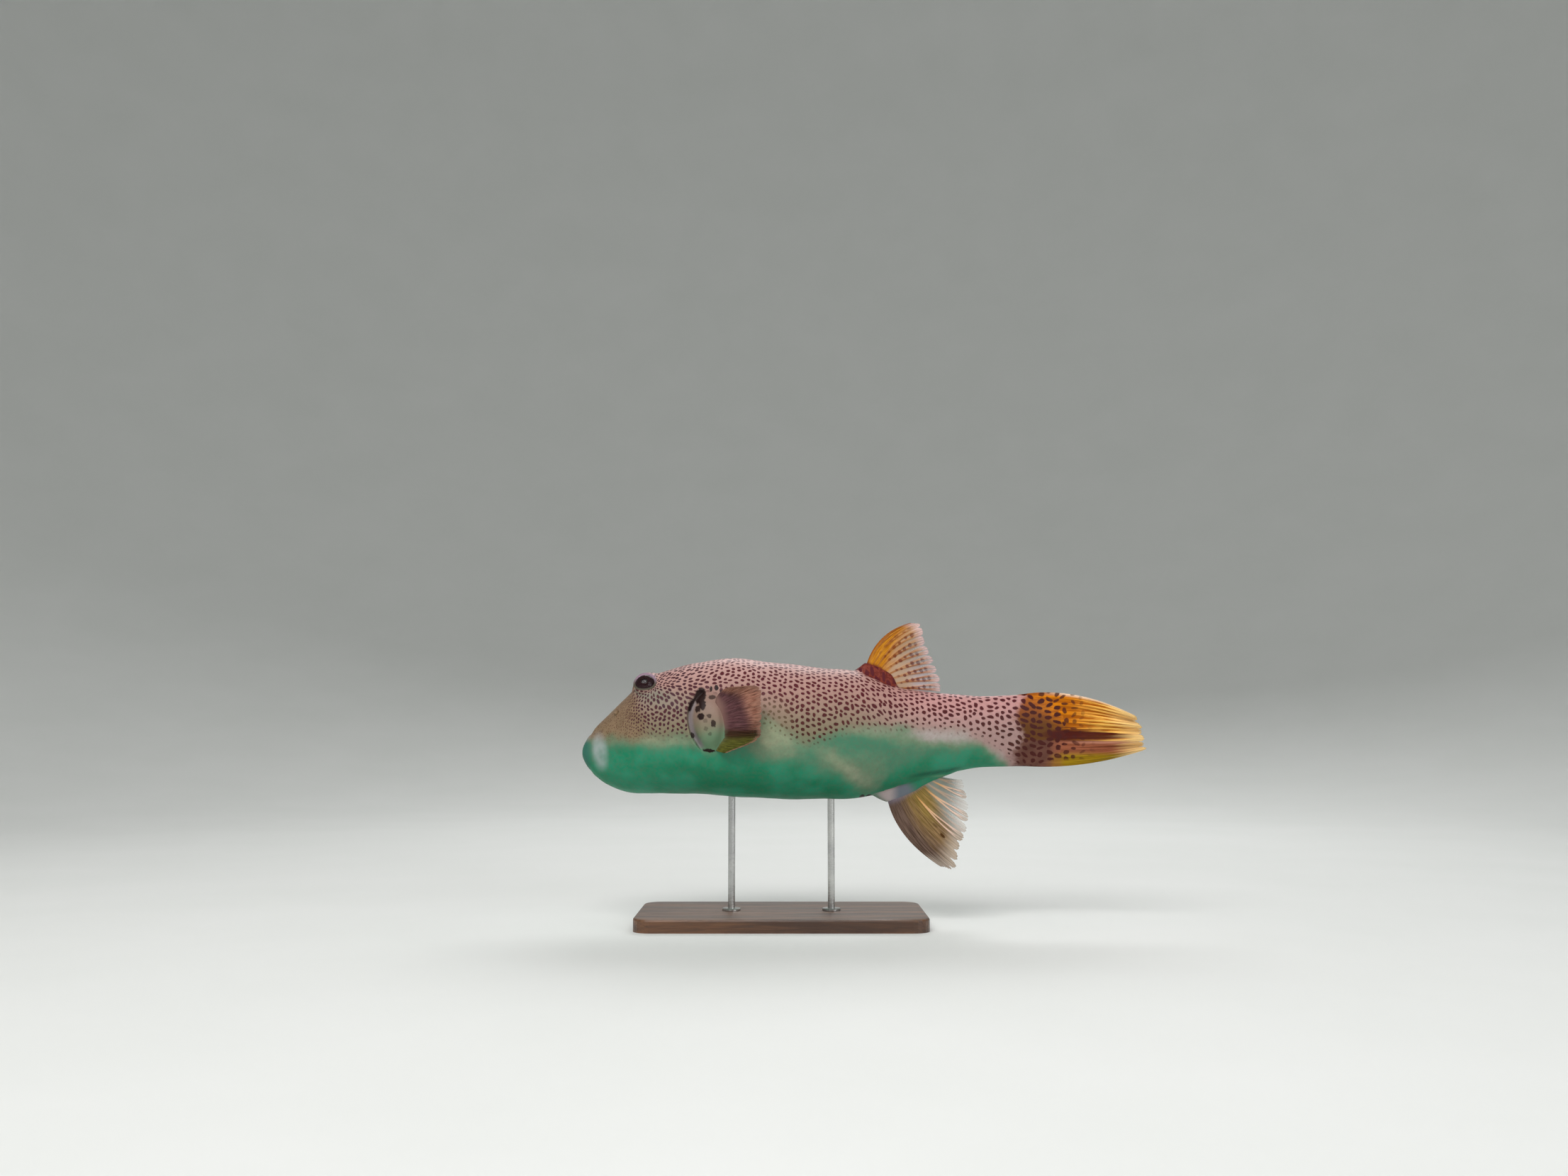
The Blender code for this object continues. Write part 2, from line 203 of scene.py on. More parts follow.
shares = np.linspace(0, 1, 4000)
lengthwise = curve_through(section_rows, shares)
strides = np.linalg.norm(np.diff(lengthwise[:, [0, 1, 4]], axis=0), axis=1)
spacing = np.interp(shares[1:], [share_of(n) for n in RING_SPACING], list(RING_SPACING.values()))
ring_number = np.concatenate([[0], np.cumsum(strides / spacing)])
RINGS = round(ring_number[-1])
print("body mesh:", RINGS, "rings of", COLUMNS)


# %% [markdown]
# ## From a ball to a body
#
# A UV sphere already has the right build: rings from pole to pole. The mouth goes to one pole and the
# tail to the other, and each vertex keeps two numbers: its share of the way from ring to ring, and
# its turn around the body. The body's shape is then a plain function of the two.

# %% The shape as a function
def ring_and_turn(ball):
    """Where a vertex of the unit ball belongs: share of the rings from the mouth, and turn."""
    ball = ball / np.linalg.norm(ball, axis=1, keepdims=True)
    ring = np.arccos(np.clip(ball[:, 2], -1, 1)) / math.pi
    return ring, np.arctan2(ball[:, 1], ball[:, 0])


def body_surface(ring, turn):
    """The plain body at these rings and turns, in fish places, with no eyes, gills or lobes."""
    share = np.interp(ring * ring_number[-1], ring_number, shares)
    station, back, waist, belly, half, square_up, square_down = curve_through(section_rows, share).T
    up = np.sin(turn) >= 0
    square = np.where(up, square_up, square_down)
    reach = np.where(up, back - waist, waist - belly)
    across = np.sign(np.cos(turn)) * np.abs(np.cos(turn)) ** (2 / square)
    upward = np.sign(np.sin(turn)) * np.abs(np.sin(turn)) ** (2 / square)
    return np.stack(
        [station, np.maximum(half, 0) * across, waist + np.maximum(reach, 0) * upward], axis=1
    )


# %% [markdown]
# ## Eyes, gills and the flesh at the fins
#
# The forms on the body are added as a sculptor would: pull the flesh out into a dome round the eye,
# press the eye's opening in and roll its rim, cut the gill slit, raise a pad where a fin grows. Each
# is a function that moves places on one side, and the other side gets the same by its mirror image.

# %% Eye sockets with lids
ORBIT_AT = np.array([92, 29, 53])
ORBIT_RADII, ORBIT_FRONT_RADII = (33, 24, 27), (21, 24, 27)
GAZE = np.array([-0.10, 0.80, 0.56])
GAZE /= np.linalg.norm(GAZE)
EYE_RADIUS = 17
EYE_AT = ORBIT_AT + 11 * GAZE
LID_OPENING, LID_DROOP = 53, 9  # degrees off the gaze, and how much less above and below
LID_THICKNESS, UPPER_LID_EXTRA, SOCKET_DEPTH = 1.7, 1.1, 4.5
LID_CREASE_DEPTH, LID_CREASE_AT, LID_CREASE_WIDTH = 0.9, 76, 4.5  # mm, then degrees off the gaze


def swell_orbits(p):
    """Pushes the skin out to an ellipsoid round the eye, with a soft edge."""
    sharpness = 9
    out = p - ORBIT_AT
    radii = np.where(out[:, :1] < 0, ORBIT_FRONT_RADII, ORBIT_RADII)
    size = np.linalg.norm(out / radii, axis=1)
    swollen = (size**sharpness + 1) ** (1 / sharpness)
    share = smoothstep(2, 14, p[:, 1]) * smoothstep(-5, 25, p[:, 2])
    return p + out * (share * (swollen / size - 1))[:, None]


def angle_from_gaze(p):
    """Degrees off the gaze, how far up the eye's rim from -1 to 1, and mm from the eye's middle."""
    out = p - EYE_AT
    reach = np.linalg.norm(out, axis=1)
    angle = np.degrees(np.arccos(np.clip(out @ GAZE / reach, -1, 1)))
    rim_top = np.array([0, 0, 1]) - GAZE * GAZE[2]
    side = out - np.outer(out @ GAZE, GAZE)
    upward = side @ rim_top / (np.linalg.norm(side, axis=1) * np.linalg.norm(rim_top) + 1e-9)
    return angle, upward, reach


def open_eyes(p):
    """Presses the socket in behind the eyeball and rolls the lids' rim round it."""
    angle, upward, reach = angle_from_gaze(p)
    rim = EYE_RADIUS + LID_THICKNESS + UPPER_LID_EXTRA * np.clip(upward, 0, 1)
    floor = EYE_RADIUS - SOCKET_DEPTH
    opening = LID_OPENING - LID_DROOP * upward**2
    opened = floor + (rim - floor) * smoothstep(opening - 6, opening + 4, angle)
    crease = LID_CREASE_DEPTH * bell(angle - LID_CREASE_AT, LID_CREASE_WIDTH)
    held = fade(60, 84, angle)
    target = held * opened + (1 - held) * (reach - crease)
    return EYE_AT + (p - EYE_AT) * (target / reach)[:, None]


# %% Gill slits and the pads that carry the pectoral fins
GILL_LINE = ((179, 55), (168, 51), (156, 37), (151, 18), (155, -4), (164, -20), (174, -33))
GILL_REGION = (130, 215, -60, 80)  # behind the snout from and to, height from and to
FLAP_LIFT, SLIT_DEPTH, PAD_HEIGHT = 2.4, 6.5, 8.5
PECTORAL_PAD = (182, 11, 21, 42)  # behind the snout, height, and its two radii
gill_shares = np.linspace(0, 1, 160)
gill_curve = curve_through(GILL_LINE, gill_shares)


def gill_distance(p):
    """Distance from the gill line in the side view, more than 0 behind it, and share along it."""
    flat = p[:, [0, 2]]
    near = np.full(len(p), -1)
    distance = np.full(len(p), 1e3)
    front, rear, low, high = GILL_REGION
    close = np.where((p[:, 0] > front) & (p[:, 0] < rear) & (p[:, 2] > low) & (p[:, 2] < high))[0]
    gaps = np.linalg.norm(flat[close, None] - gill_curve[None], axis=2)
    near[close] = gaps.argmin(axis=1)
    distance[close] = gaps.min(axis=1)
    along = np.gradient(gill_curve, axis=0)[near]
    out = flat - gill_curve[near]
    inside = np.sign(out[:, 0] * -along[:, 1] + out[:, 1] * along[:, 0])
    return distance * np.where(inside == 0, 1, inside), gill_shares[near] * (near >= 0)


def pad_reach(p):
    """Distance from the pad's middle in the side view, 1 on its edge."""
    station, height, length, tall = PECTORAL_PAD
    return np.hypot((p[:, 0] - station) / length, (p[:, 2] - height) / tall)


def cut_gills(p):
    """Lifts the gill's flap, cuts the slit behind it and raises the fin's pad."""
    distance, along = gill_distance(p)
    ends = smoothstep(0, 0.14, along) * smoothstep(0, 0.16, 1 - along)
    flap = FLAP_LIFT * bell(np.minimum(distance, 0), 8)
    behind = between((0, 1.8), (3, 12), distance)
    pad = PAD_HEIGHT * fade(0.5, 1.06, pad_reach(p)) * (p[:, 1] > 20)
    lift = np.where(distance < 0, flap, flap * fade(0, 1.8, distance))
    return p + np.stack([0 * along, pad + ends * (lift - SLIT_DEPTH * behind), 0 * along], axis=1)


# %% Ridges of flesh along the back and belly where the middle fins grow
# (behind the snout, how far the lobe rises there)
DORSAL_LOBE = ((383, 0), (391, 7), (399, 16.5), (408, 19), (420, 19.5), (431, 18.5), (437, 16), (441, 11),
               (444, 4), (448, 0))
ANAL_LOBE = ((408, 0), (419, 9), (428, 15), (441, 15), (452, 14.5), (468, 12.5), (480, 9), (505, 4), (528, 0))
LOBE_HALF_WIDTH = 13


def raise_lobes(p):
    """Raises the ridges at the middle, less and less towards their sides."""
    q = np.clip(np.abs(p[:, 1]) / LOBE_HALF_WIDTH, 0, 1)
    across = 0.5 + 0.5 * np.cos(math.pi * q**1.3)
    on_back, on_belly = smoothstep(10, 40, p[:, 2]), smoothstep(10, 40, -p[:, 2])
    dorsal = np.interp(p[:, 0], *np.transpose(DORSAL_LOBE)) * on_back
    anal = np.interp(p[:, 0], *np.transpose(ANAL_LOBE)) * on_belly
    return p + np.stack([0 * q, 0 * q, across * (dorsal - anal)], axis=1)


def soft_folds(p):
    """Loose skin is never quite even: long shallow waves on the flanks, finer ones on the belly."""
    out = (p + [0, 0, 10]) * [0, 1, 1]
    out /= np.linalg.norm(out, axis=1, keepdims=True) + 1e-9
    waves = np.array([noise.noise(Vector((x / 46, y / 30, z / 24))) for x, y, z in p])
    fine = np.array([noise.noise(Vector((x / 17 + 40, y / 11, z / 11))) for x, y, z in p])
    share = between((30, 90), (590, 640), p[:, 0])
    return p + out * (share * (1.1 * waves + 0.35 * fine))[:, None]


def form_body(p):
    """All forms, on places of either side."""
    formed = on_right(p)
    for form in (swell_orbits, raise_lobes, cut_gills, soft_folds, open_eyes):
        formed = form(formed)
    return formed * np.where(p[:, 1:2] < 0, (1, -1, 1), 1)


# %% [markdown]
# ## Model the skin
#
# The ball gets extra faces only where small forms need them: round the eyes, at the gills and on the
# lobes. Those faces are chosen by their place on the plain body and subdivided in edit mode, then
# every vertex moves to its place on the finished body.

# %% Make the skin
skin = new_primitive(
    "skin", bpy.ops.mesh.primitive_uv_sphere_add, segments=COLUMNS, ring_count=RINGS, radius=1
)


FINE_ROUND_EYE, FINE_BESIDE_GILL = 33, 9  # mm


def near_eye(p):
    return np.linalg.norm(on_right(p) - EYE_AT, axis=1) < FINE_ROUND_EYE


def near_gill(p):
    distance, _ = gill_distance(p)
    return (np.abs(distance) < FINE_BESIDE_GILL) & (np.abs(p[:, 1]) > 40)


def near_lobes(p):
    above = (p[:, 2] > 30) & (p[:, 0] > 384) & (p[:, 0] < 446)
    below = (p[:, 2] < -40) & (p[:, 0] > 410) & (p[:, 0] < 500)
    return (above | below) & (np.abs(p[:, 1]) < LOBE_HALF_WIDTH + 2)


def refine(obj, chosen):
    """Subdivides the faces whose middles the function chooses on the plain body."""
    mesh = obj.data
    inside = chosen(body_surface(*ring_and_turn(values_of(mesh.polygons, "center", 3))))
    mesh.vertices.foreach_set("select", np.zeros(len(mesh.vertices), bool))
    mesh.edges.foreach_set("select", np.zeros(len(mesh.edges), bool))
    mesh.polygons.foreach_set("select", inside)
    bpy.context.view_layer.objects.active = obj
    bpy.ops.object.mode_set(mode="EDIT")
    bpy.ops.mesh.select_mode(type="FACE")
    bpy.ops.mesh.subdivide(number_cuts=1, smoothness=0)
    bpy.ops.object.mode_set(mode="OBJECT")
    print("refined", int(inside.sum()), "faces")


for zone in (near_eye, near_gill, near_lobes):
    refine(skin, zone)

skin_ring, skin_turn = ring_and_turn(values_of(skin.data.vertices, "co", 3))
formed = form_body(body_surface(skin_ring, skin_turn))
set_coordinates(skin.data, to_scene(formed))
finish_mesh(skin)

# %% [markdown]
# ## Two flat maps of the skin
#
# A pattern that should follow the skin needs a flat map of it, as a tailor's pattern follows cloth.
# The first map, OFBake, is the whole skin cut open along the belly. The second measures the skin in
# spots: one unit is the distance between two spots, which grows from the snout to the tail.

# %% Unroll the skin
def around(turn):
    """Turn as a share of half the way round: 0 on the back, -1 and 1 at the belly."""
    return (turn / math.pi - 0.5 + 1) % 2 - 1


def loops_around(obj, shares, poles):
    """The share for each corner of each face, kept in step where a face crosses the belly seam."""
    corner = values_of(obj.data.loops, "vertex_index", kind=int)
    sizes = values_of(obj.data.polygons, "loop_total", kind=int)
    face = np.repeat(np.arange(len(sizes)), sizes)
    value, pole = shares[corner], poles[corner]
    low, high = np.full(len(sizes), np.inf), np.full(len(sizes), -np.inf)
    np.minimum.at(low, face[~pole], value[~pole])
    np.maximum.at(high, face[~pole], value[~pole])
    crosses = (high - low > 1)[face]
    value = np.where(crosses & (value < 0), value + 2, value)
    total, count = np.zeros(len(sizes)), np.zeros(len(sizes))
    np.add.at(total, face[~pole], value[~pole])
    np.add.at(count, face[~pole], 1)
    return corner, np.where(pole, (total / np.maximum(count, 1))[face], value)


def side_of_corners(obj):
    """For each corner 1 if its face is on the left and -1 if it is on the right."""
    faces = obj.data.polygons
    out = np.repeat(values_of(faces, "center", 3)[:, 1], values_of(faces, "loop_total", kind=int))
    return np.where(out < 0, 1, -1)


def add_map(obj, name, u, v):
    layer = obj.data.uv_layers.get(name) or obj.data.uv_layers.new(name=name, do_init=False)
    layer.data.foreach_set("uv", np.stack([u, v], axis=1).astype(np.float32).ravel())


# The spots' spacing in mm at places behind the snout, round the body and along it.
SPOT_SPACING = {
    20: (2.9, 3.0), 60: (4.1, 4.2), 85: (5.4, 5.5), 105: (6.7, 6.8), 150: (7.7, 7.7), 300: (8.5, 8.9),
    480: (8.6, 9.3), 560: (8.7, 10.4), 620: (9.5, 13.6), 800: (9.8, 16.0),
}
stations = np.array(list(SPOT_SPACING), float)
round_spacing, long_spacing = np.array(list(SPOT_SPACING.values())).T

ring_steps = np.linspace(0, 1, 600)
turn_steps = np.linspace(0, 1, 240)
sheet_rings, sheet_turns = np.meshgrid(ring_steps, math.pi / 2 + turn_steps * math.pi, indexing="ij")
sheet = body_surface(sheet_rings.ravel(), sheet_turns.ravel()).reshape(*sheet_rings.shape, 3)
round_steps = np.linalg.norm(np.diff(sheet, axis=1), axis=2)
round_length = np.concatenate([np.zeros((len(ring_steps), 1)), np.cumsum(round_steps, axis=1)], axis=1)
flank = sheet[:, len(turn_steps) // 3]
# The tail ends flat, like a blade: there both maps are measured straight and no longer along the skin.
TAIL_FLAT, TAIL_TOP = (600, 640), 52
steps = np.diff(flank, axis=0)
straight = smoothstep(*TAIL_FLAT, flank[1:, 0])
long_steps = (1 - straight) * np.linalg.norm(steps, axis=1) + straight * np.abs(steps[:, 0])
long_units = np.concatenate([[0], np.cumsum(long_steps / np.interp(flank[1:, 0], stations, long_spacing))])


def spot_map(ring, share, side, p):
    """The place on the skin in spots: round from the back, and along from the mouth."""
    row = np.clip(ring, 0, 1) * (len(ring_steps) - 1)
    column = np.clip(np.abs(share), 0, 1) * (len(turn_steps) - 1)
    r = np.minimum(row.astype(int), len(ring_steps) - 2)
    c = np.minimum(column.astype(int), len(turn_steps) - 2)
    a, b = row - r, column - c
    length = (
        round_length[r, c] * (1 - a) * (1 - b) + round_length[r + 1, c] * a * (1 - b)
        + round_length[r, c + 1] * (1 - a) * b + round_length[r + 1, c + 1] * a * b
    )
    straight = smoothstep(*TAIL_FLAT, p[:, 0])
    length = (1 - straight) * length + straight * (TAIL_TOP - p[:, 2])
    u = side * length / np.interp(p[:, 0], stations, round_spacing)
    return u, np.interp(ring, ring_steps, long_units)


skin_share = around(skin_turn)
at_pole = (skin_ring < 1e-4) | (skin_ring > 1 - 1e-4)
corner, corner_share = loops_around(skin, skin_share, at_pole)
add_map(skin, "OFBake", (corner_share + 1) / 2 * 0.98 + 0.005, skin_ring[corner] * 0.99 + 0.005)
add_map(skin, "SpotMap", *spot_map(skin_ring[corner], corner_share, side_of_corners(skin), formed[corner]))
print("the skin is", round(long_units[-1]), "spots long")

# %% [markdown]
# ## Zones of the skin
#
# The skin isn't coloured by one pattern. The back is spotted, the snout only freckled, the belly is
# plain, and there are dark marks at the gill. Each zone is a number from 0 to 1 at every vertex, from
# the place on the fish. The material mixes its colours by these numbers and breaks up their edges.

# %% Heights where the colour changes
# (behind the snout, height): above the first line the skin is tanned, above the second it is cream
TAN_EDGE = ((0, -6), (14, -12), (40, -14), (100, -9), (160, -12), (200, 2), (238, 22), (262, 14), (285, -2),
            (312, -14), (338, -12), (362, 0), (400, 4), (480, 2), (520, -3), (560, -14), (590, -34),
            (608, -60), (660, -80))
CREAM_EDGE = ((0, -40), (40, -25), (100, -23), (160, -25), (215, -32), (250, -42), (290, -45), (320, -51),
              (350, -60), (375, -74), (395, -90), (412, -92), (430, -60), (460, -42), (500, -30), (540, -28),
              (562, -34), (584, -44), (604, -52), (660, -80))
SPOT_EDGE = ((0, -20), (60, -8), (110, -9), (160, -10), (200, 0), (240, 10), (262, 3), (285, -9), (310, -20),
             (335, -19), (356, -9), (376, 0), (400, 1), (440, -1), (480, 0), (520, -3), (555, -9), (590, -28),
             (612, -52), (660, -60))
# (height, behind the snout): behind this line the skin takes the tail fin's colours
GOLD_EDGE = ((-52, 607), (-36, 612), (-20, 616), (-8, 622), (2, 617), (18, 612), (32, 615), (49, 632))
# light clouds below the tanned back: (behind the snout, height, half length, half height, tilt, strength)
CLOUDS = ((115, -16, 95, 12, 0, 0.65), (272, -8, 44, 36, -12, 0.85), (362, -48, 44, 14, -34, 0.6),
          (396, 0, 38, 12, 0, 0.7), (396, -64, 30, 34, -20, 0.5), (505, -6, 84, 18, -2, 0.95),
          (592, -20, 34, 30, -16, 0.95))


def edge_height(p, edge):
    return p[:, 2] - np.interp(p[:, 0], *np.transpose(edge))


def ellipse(p, station, height, half_length, half_height, tilt=0):
    """Distance from an ellipse's middle in the side view, 1 on its edge."""
    a = math.radians(tilt)
    x, z = p[:, 0] - station, p[:, 2] - height
    return np.hypot((x * math.cos(a) + z * math.sin(a)) / half_length,
                    (z * math.cos(a) - x * math.sin(a)) / half_height)


# %% Give every vertex its zones
def skin_zones(p):
    """The zones of places on the skin, by name."""
    p = on_right(p)
    station, out, height = p.T
    gill, along = gill_distance(p)
    angle, upward, _ = angle_from_gaze(p)
    beside = smoothstep(20, 30, out)
    over = edge_height(p, SPOT_EDGE)
    pad = fade(0.9, 1.25, pad_reach(p))
    lip = fade(7, 18, station + 0.10 * np.abs(height + 32))
    from_lids = angle + LID_DROOP * upward**2
    # spots: smaller at their lower edge, faint on the snout and in one patch, none at the gill
    faint = fade(0.4, 1.2, ellipse(p, 262, 12, 34, 34))
    size = (0.75 + 0.45 * smoothstep(0, 26, over)) * (0.98 + 0.06 * smoothstep(150, 230, station))
    size = size * (1 + 0.20 * bell(station - 125, 52)) - 0.05 * smoothstep(520, 600, station)
    strength = smoothstep(-8, 9, over) * (0.12 + 0.88 * smoothstep(44, 84, station))
    at_gill = beside * np.maximum(pad, between((-1, 1), (8, 14), gill) * (along > 0.02))
    strength = strength * (1 - 0.3 * faint) * (1 - at_gill * fade(46, 60, height))
    turn = 50 * bell(station - 140, 45) * smoothstep(-20, 30, height)
    turn = turn + 60 * bell(station - 270, 45) * bell(height - 35, 25)
    # darker in the gill slit and in the fold under the gill's flap, painted shade in these hollows, and a
    # dark spot at the vent
    slit = bell(gill - 1.8, 3.0) * between((0.02, 0.12), (0.40, 0.50), along)
    fold = 0.55 * bell(gill - 0.6, 1.0) * between((0.1, 0.2), (0.9, 0.98), along)
    vent = np.minimum(np.hypot((station - 393) / 5, (height + 97) / 8),
                      np.hypot((station - 403) / 6, (height + 96) / 7))
    vent = fade(0.7, 1.15, np.maximum(vent, out / 46))
    # bare skin: a crescent behind the gill and the root of the anal fin
    crescent = between((0.5, 2.5), (6, 10), gill) * between((0.22, 0.34), (0.86, 0.97), along)
    anal = fade(0.6, 1.3, np.hypot((station - 441) / 28, (height + 88) / 17))
    # the crease above the anal fin, which gets a painted shadow, the red lobe of the dorsal fin and the root
    # of the tail fin
    crease = bell(height - np.interp(station, (455, 480, 510, 530), (-66, -62, -58, -54)), 3.2)
    lift = np.interp(station, *np.transpose(DORSAL_LOBE)) / 16
    off_ridge = (out + 1.5 * np.sin(station / 3.1)) / (3 + 12 * np.minimum(lift, 1))
    behind_gold = station - np.interp(height, *np.transpose(GOLD_EDGE))
    return {
        "over_tan": edge_height(p, TAN_EDGE),
        "over_cream": edge_height(p, CREAM_EDGE),
        "creamy": 1 - np.prod([1 - most * fade(0.1, 1.5, ellipse(p, *at)) for *at, most in CLOUDS], axis=0),
        "spot_size": size * (1 - 0.14 * faint),
        "spot_strength": strength * smoothstep(50, 62, from_lids) * (1 - lip),
        "spot_turn": np.radians(turn),
        "faint": faint,
        "snout": fade(60, 112, station + 0.25 * (height - 20) - 0.7 * np.maximum(30 - out, 0)),
        "marks": np.maximum.reduce([slit * beside, fold * beside, vent * (height < -80)]),
        "beside": beside,
        # a painted shadow in the crease above the anal fin
        "crease": crease * between((448, 478), (518, 542), station),
        "crease_light": bell(height + 65.5 - 0.04 * (station - 495), 1.5) * bell(station - 508, 16),
        "membrane": np.maximum(0.8 * crescent * beside, anal * (out < 18) * (height < -58)),
        "pad": pad * beside,
        "lobe": smoothstep(0.02, 0.22, lift) * fade(0.85, 1.35, off_ridge) * (height > 20),
        "lip": lip,
        "patch": fade(0.35, 1.25, ellipse(p, 27, -31, 13, 27, 8)),
        "caudal": smoothstep(-20, 20, behind_gold + 2.5 * np.sin(height / 7)),
        # the lid's rim, painted lighter on top as a highlight and darker below as shade
        "lid": bell(from_lids - 55, 7) * smoothstep(30, 40, angle),
        "lid_top": (upward + 1) / 2,
        # painted shade below the eye's dome
        "under_eye": bell(angle - 72, 12) * smoothstep(0.1, 0.7, -upward),
    }


for name, values in skin_zones(formed).items():
    add_attribute(skin, name, values)
print("zones:", ", ".join(a.name for a in skin.data.attributes if a.domain == "POINT"))

# %% [markdown]
# ## Model the fins
#
# A fin is a fan of soft rays with skin between them. Each fan here is a grid whose columns run along
# the rays. The grid is bent to the fin's outline, its free edge is cut in between the rays, and a
# Solidify modifier gives it flesh: thick at the root, thin at the edge, with a ridge on each ray.

# %% The outlines of the fins
# root and tips are points along the fin's two ends, as (behind the snout, height). bow and last_bow
# curve its first and last ray, notch is how deep its edge is cut at both, as a share of the length,
# and thick is its thickness at the root, in the middle and at the edge.
FINS = {
    "dorsal_fin": dict(
        root=((400, 88), (424, 80), (438, 54)),
        tips=((466, 152.5), (481, 149), (485, 126), (497, 102), (506, 78), (508, 53)),
        bow=(-19, 19), last_bow=(0, 2), rays=9, notch=(0.03, 0.20), thick=(7, 2.0, 0.7),
    ),
    "anal_fin": dict(
        root=((429, -95), (462, -81), (497, -64)),
        tips=((506, -193), (524, -195), (532, -168), (543, -140), (545, -104), (536, -70)),
        bow=(-27, -9), last_bow=(0, -3), rays=11, notch=(0.03, 0.16), thick=(7, 2.2, 0.7),
    ),
    "caudal_fin": dict(
        root=((606, 47), (606, -2), (606, -50)),
        tips=((786, 18.5), (789, 10), (795, -3), (800, -22), (798, -28)),
        bow=(-4, 34), last_bow=(0, -21), rays=9, notch=(0.03, 0.04), thick=(16, 2.4, 0.9),
    ),
    "pectoral_fin": dict(
        root=((192, 44), (197, 8), (188, -27)),
        tips=((212, 57), (250, 57), (254, 30), (254, 4), (248, -14), (206, -31)),
        bow=(-4, 5), last_bow=(2, -3), rays=13, notch=(0.03, 0.05), thick=(6, 1.8, 0.7),
    ),
}
RAY_COLUMNS, FIN_ROWS = 14, 70
HIDDEN_ROOT = 0.07  # the share of a fin's length that lies inside the body


def branches(across, along, rays):
    """How much of a ray there is here, 0 to 1: rays split in two, and near the edge in four."""
    place = across * rays - np.floor(np.minimum(across * rays, rays - 1e-6)) - 0.5
    once = 0.24 * smoothstep(0.22, 0.75, along)
    twice = 0.11 * smoothstep(0.62, 1.0, along)
    width = 0.17 - 0.09 * smoothstep(0.2, 0.9, along)
    ray = np.zeros_like(place)
    for a in (-once, once):
        for b in (-twice, twice):
            ray = np.maximum(ray, bell(place - a - b, width))
    return ray


def fin_middle(name, across, along):
    """The fin's middle surface: across runs over the rays, and along from root to edge, 0 to 1."""
    fin = FINS[name]
    root = curve_through(fin["root"], across)
    tip = curve_through(fin["tips"], across)
    first, last = (1 - across)[:, None] ** 1.5, across[:, None] ** 1.5
    bow = first * np.array(fin["bow"]) + last * np.array(fin["last_bow"])
    count = fin["rays"]
    chance = np.random.default_rng(len(name) * 7)
    lengths = np.interp(across * count, np.arange(count + 1), chance.uniform(-0.03, 0.0, count + 1))
    gap = np.round(across * count).astype(int)
    first_notch, last_notch = fin["notch"]
    depth = (first_notch + (last_notch - first_notch) * across) * chance.uniform(0.35, 1.0, count + 1)[gap]
    inside = (gap > 0) & (gap < count)
    slits = depth * bell(across * count - gap, 0.16) * inside
    fringe = chance.uniform(0.2, 1.0, 4 * count + 2)[np.floor(across * count * 4).astype(int)]
    fringe = 0.03 * fringe * (1 - branches(across, np.ones_like(across), count))
    reach = along * (1 + np.clip(along, 0, 1) ** 4 * (lengths - slits - fringe))
    r = reach[:, None]
    flat = (1 - r) ** 2 * root + 2 * r * (1 - r) * ((root + tip) / 2 + bow) + r**2 * tip
    grow = np.clip(along, 0, 1)
    if name == "caudal_fin":
        out = 4.6 * np.cos(math.pi * across * 8) * smoothstep(0.40, 0.92, grow)
        out = out + 1.6 * np.sin(9 * across + 5 * grow) * smoothstep(0.40, 1, grow)
    elif name == "pectoral_fin":
        out = 84 + 37 * grow**1.2 * (1 - 0.35 * (2 * across - 1) ** 2)
        out = out + 1.5 * np.cos(2 * math.pi * across * 6) * grow**1.5 - 10 * (along < 0) * -along * 10
    else:
        out = (2.2 * np.sin(7 * across + 3.2 * grow) + 1.1 * np.sin(19 * across)) * grow**1.6
    return np.stack([flat[:, 0], out, flat[:, 1]], axis=1)


# %% Make the fins
SKIN_ENDS = 680
beyond = np.arange(SKIN_ENDS, 830.0)
tail_rows = slice(len(ring_steps) // 2, int(np.argmax(sheet[:, 0, 0])))
units_at_end = float(np.interp(SKIN_ENDS, sheet[tail_rows, 0, 0], long_units[tail_rows]))
units_beyond = units_at_end + np.cumsum(1 / np.interp(beyond, stations, long_spacing))


def tail_spot_map(p):
    """The same map as the skin's spots have, carried on over the tail fin."""
    on_skin = np.interp(p[:, 0], sheet[tail_rows, 0, 0], long_units[tail_rows])
    on_fin = np.interp(p[:, 0], beyond, units_beyond)
    u = (TAIL_TOP - p[:, 2]) / np.interp(p[:, 0], stations, round_spacing)
    return u, np.where(p[:, 0] < SKIN_ENDS, on_skin, on_fin)


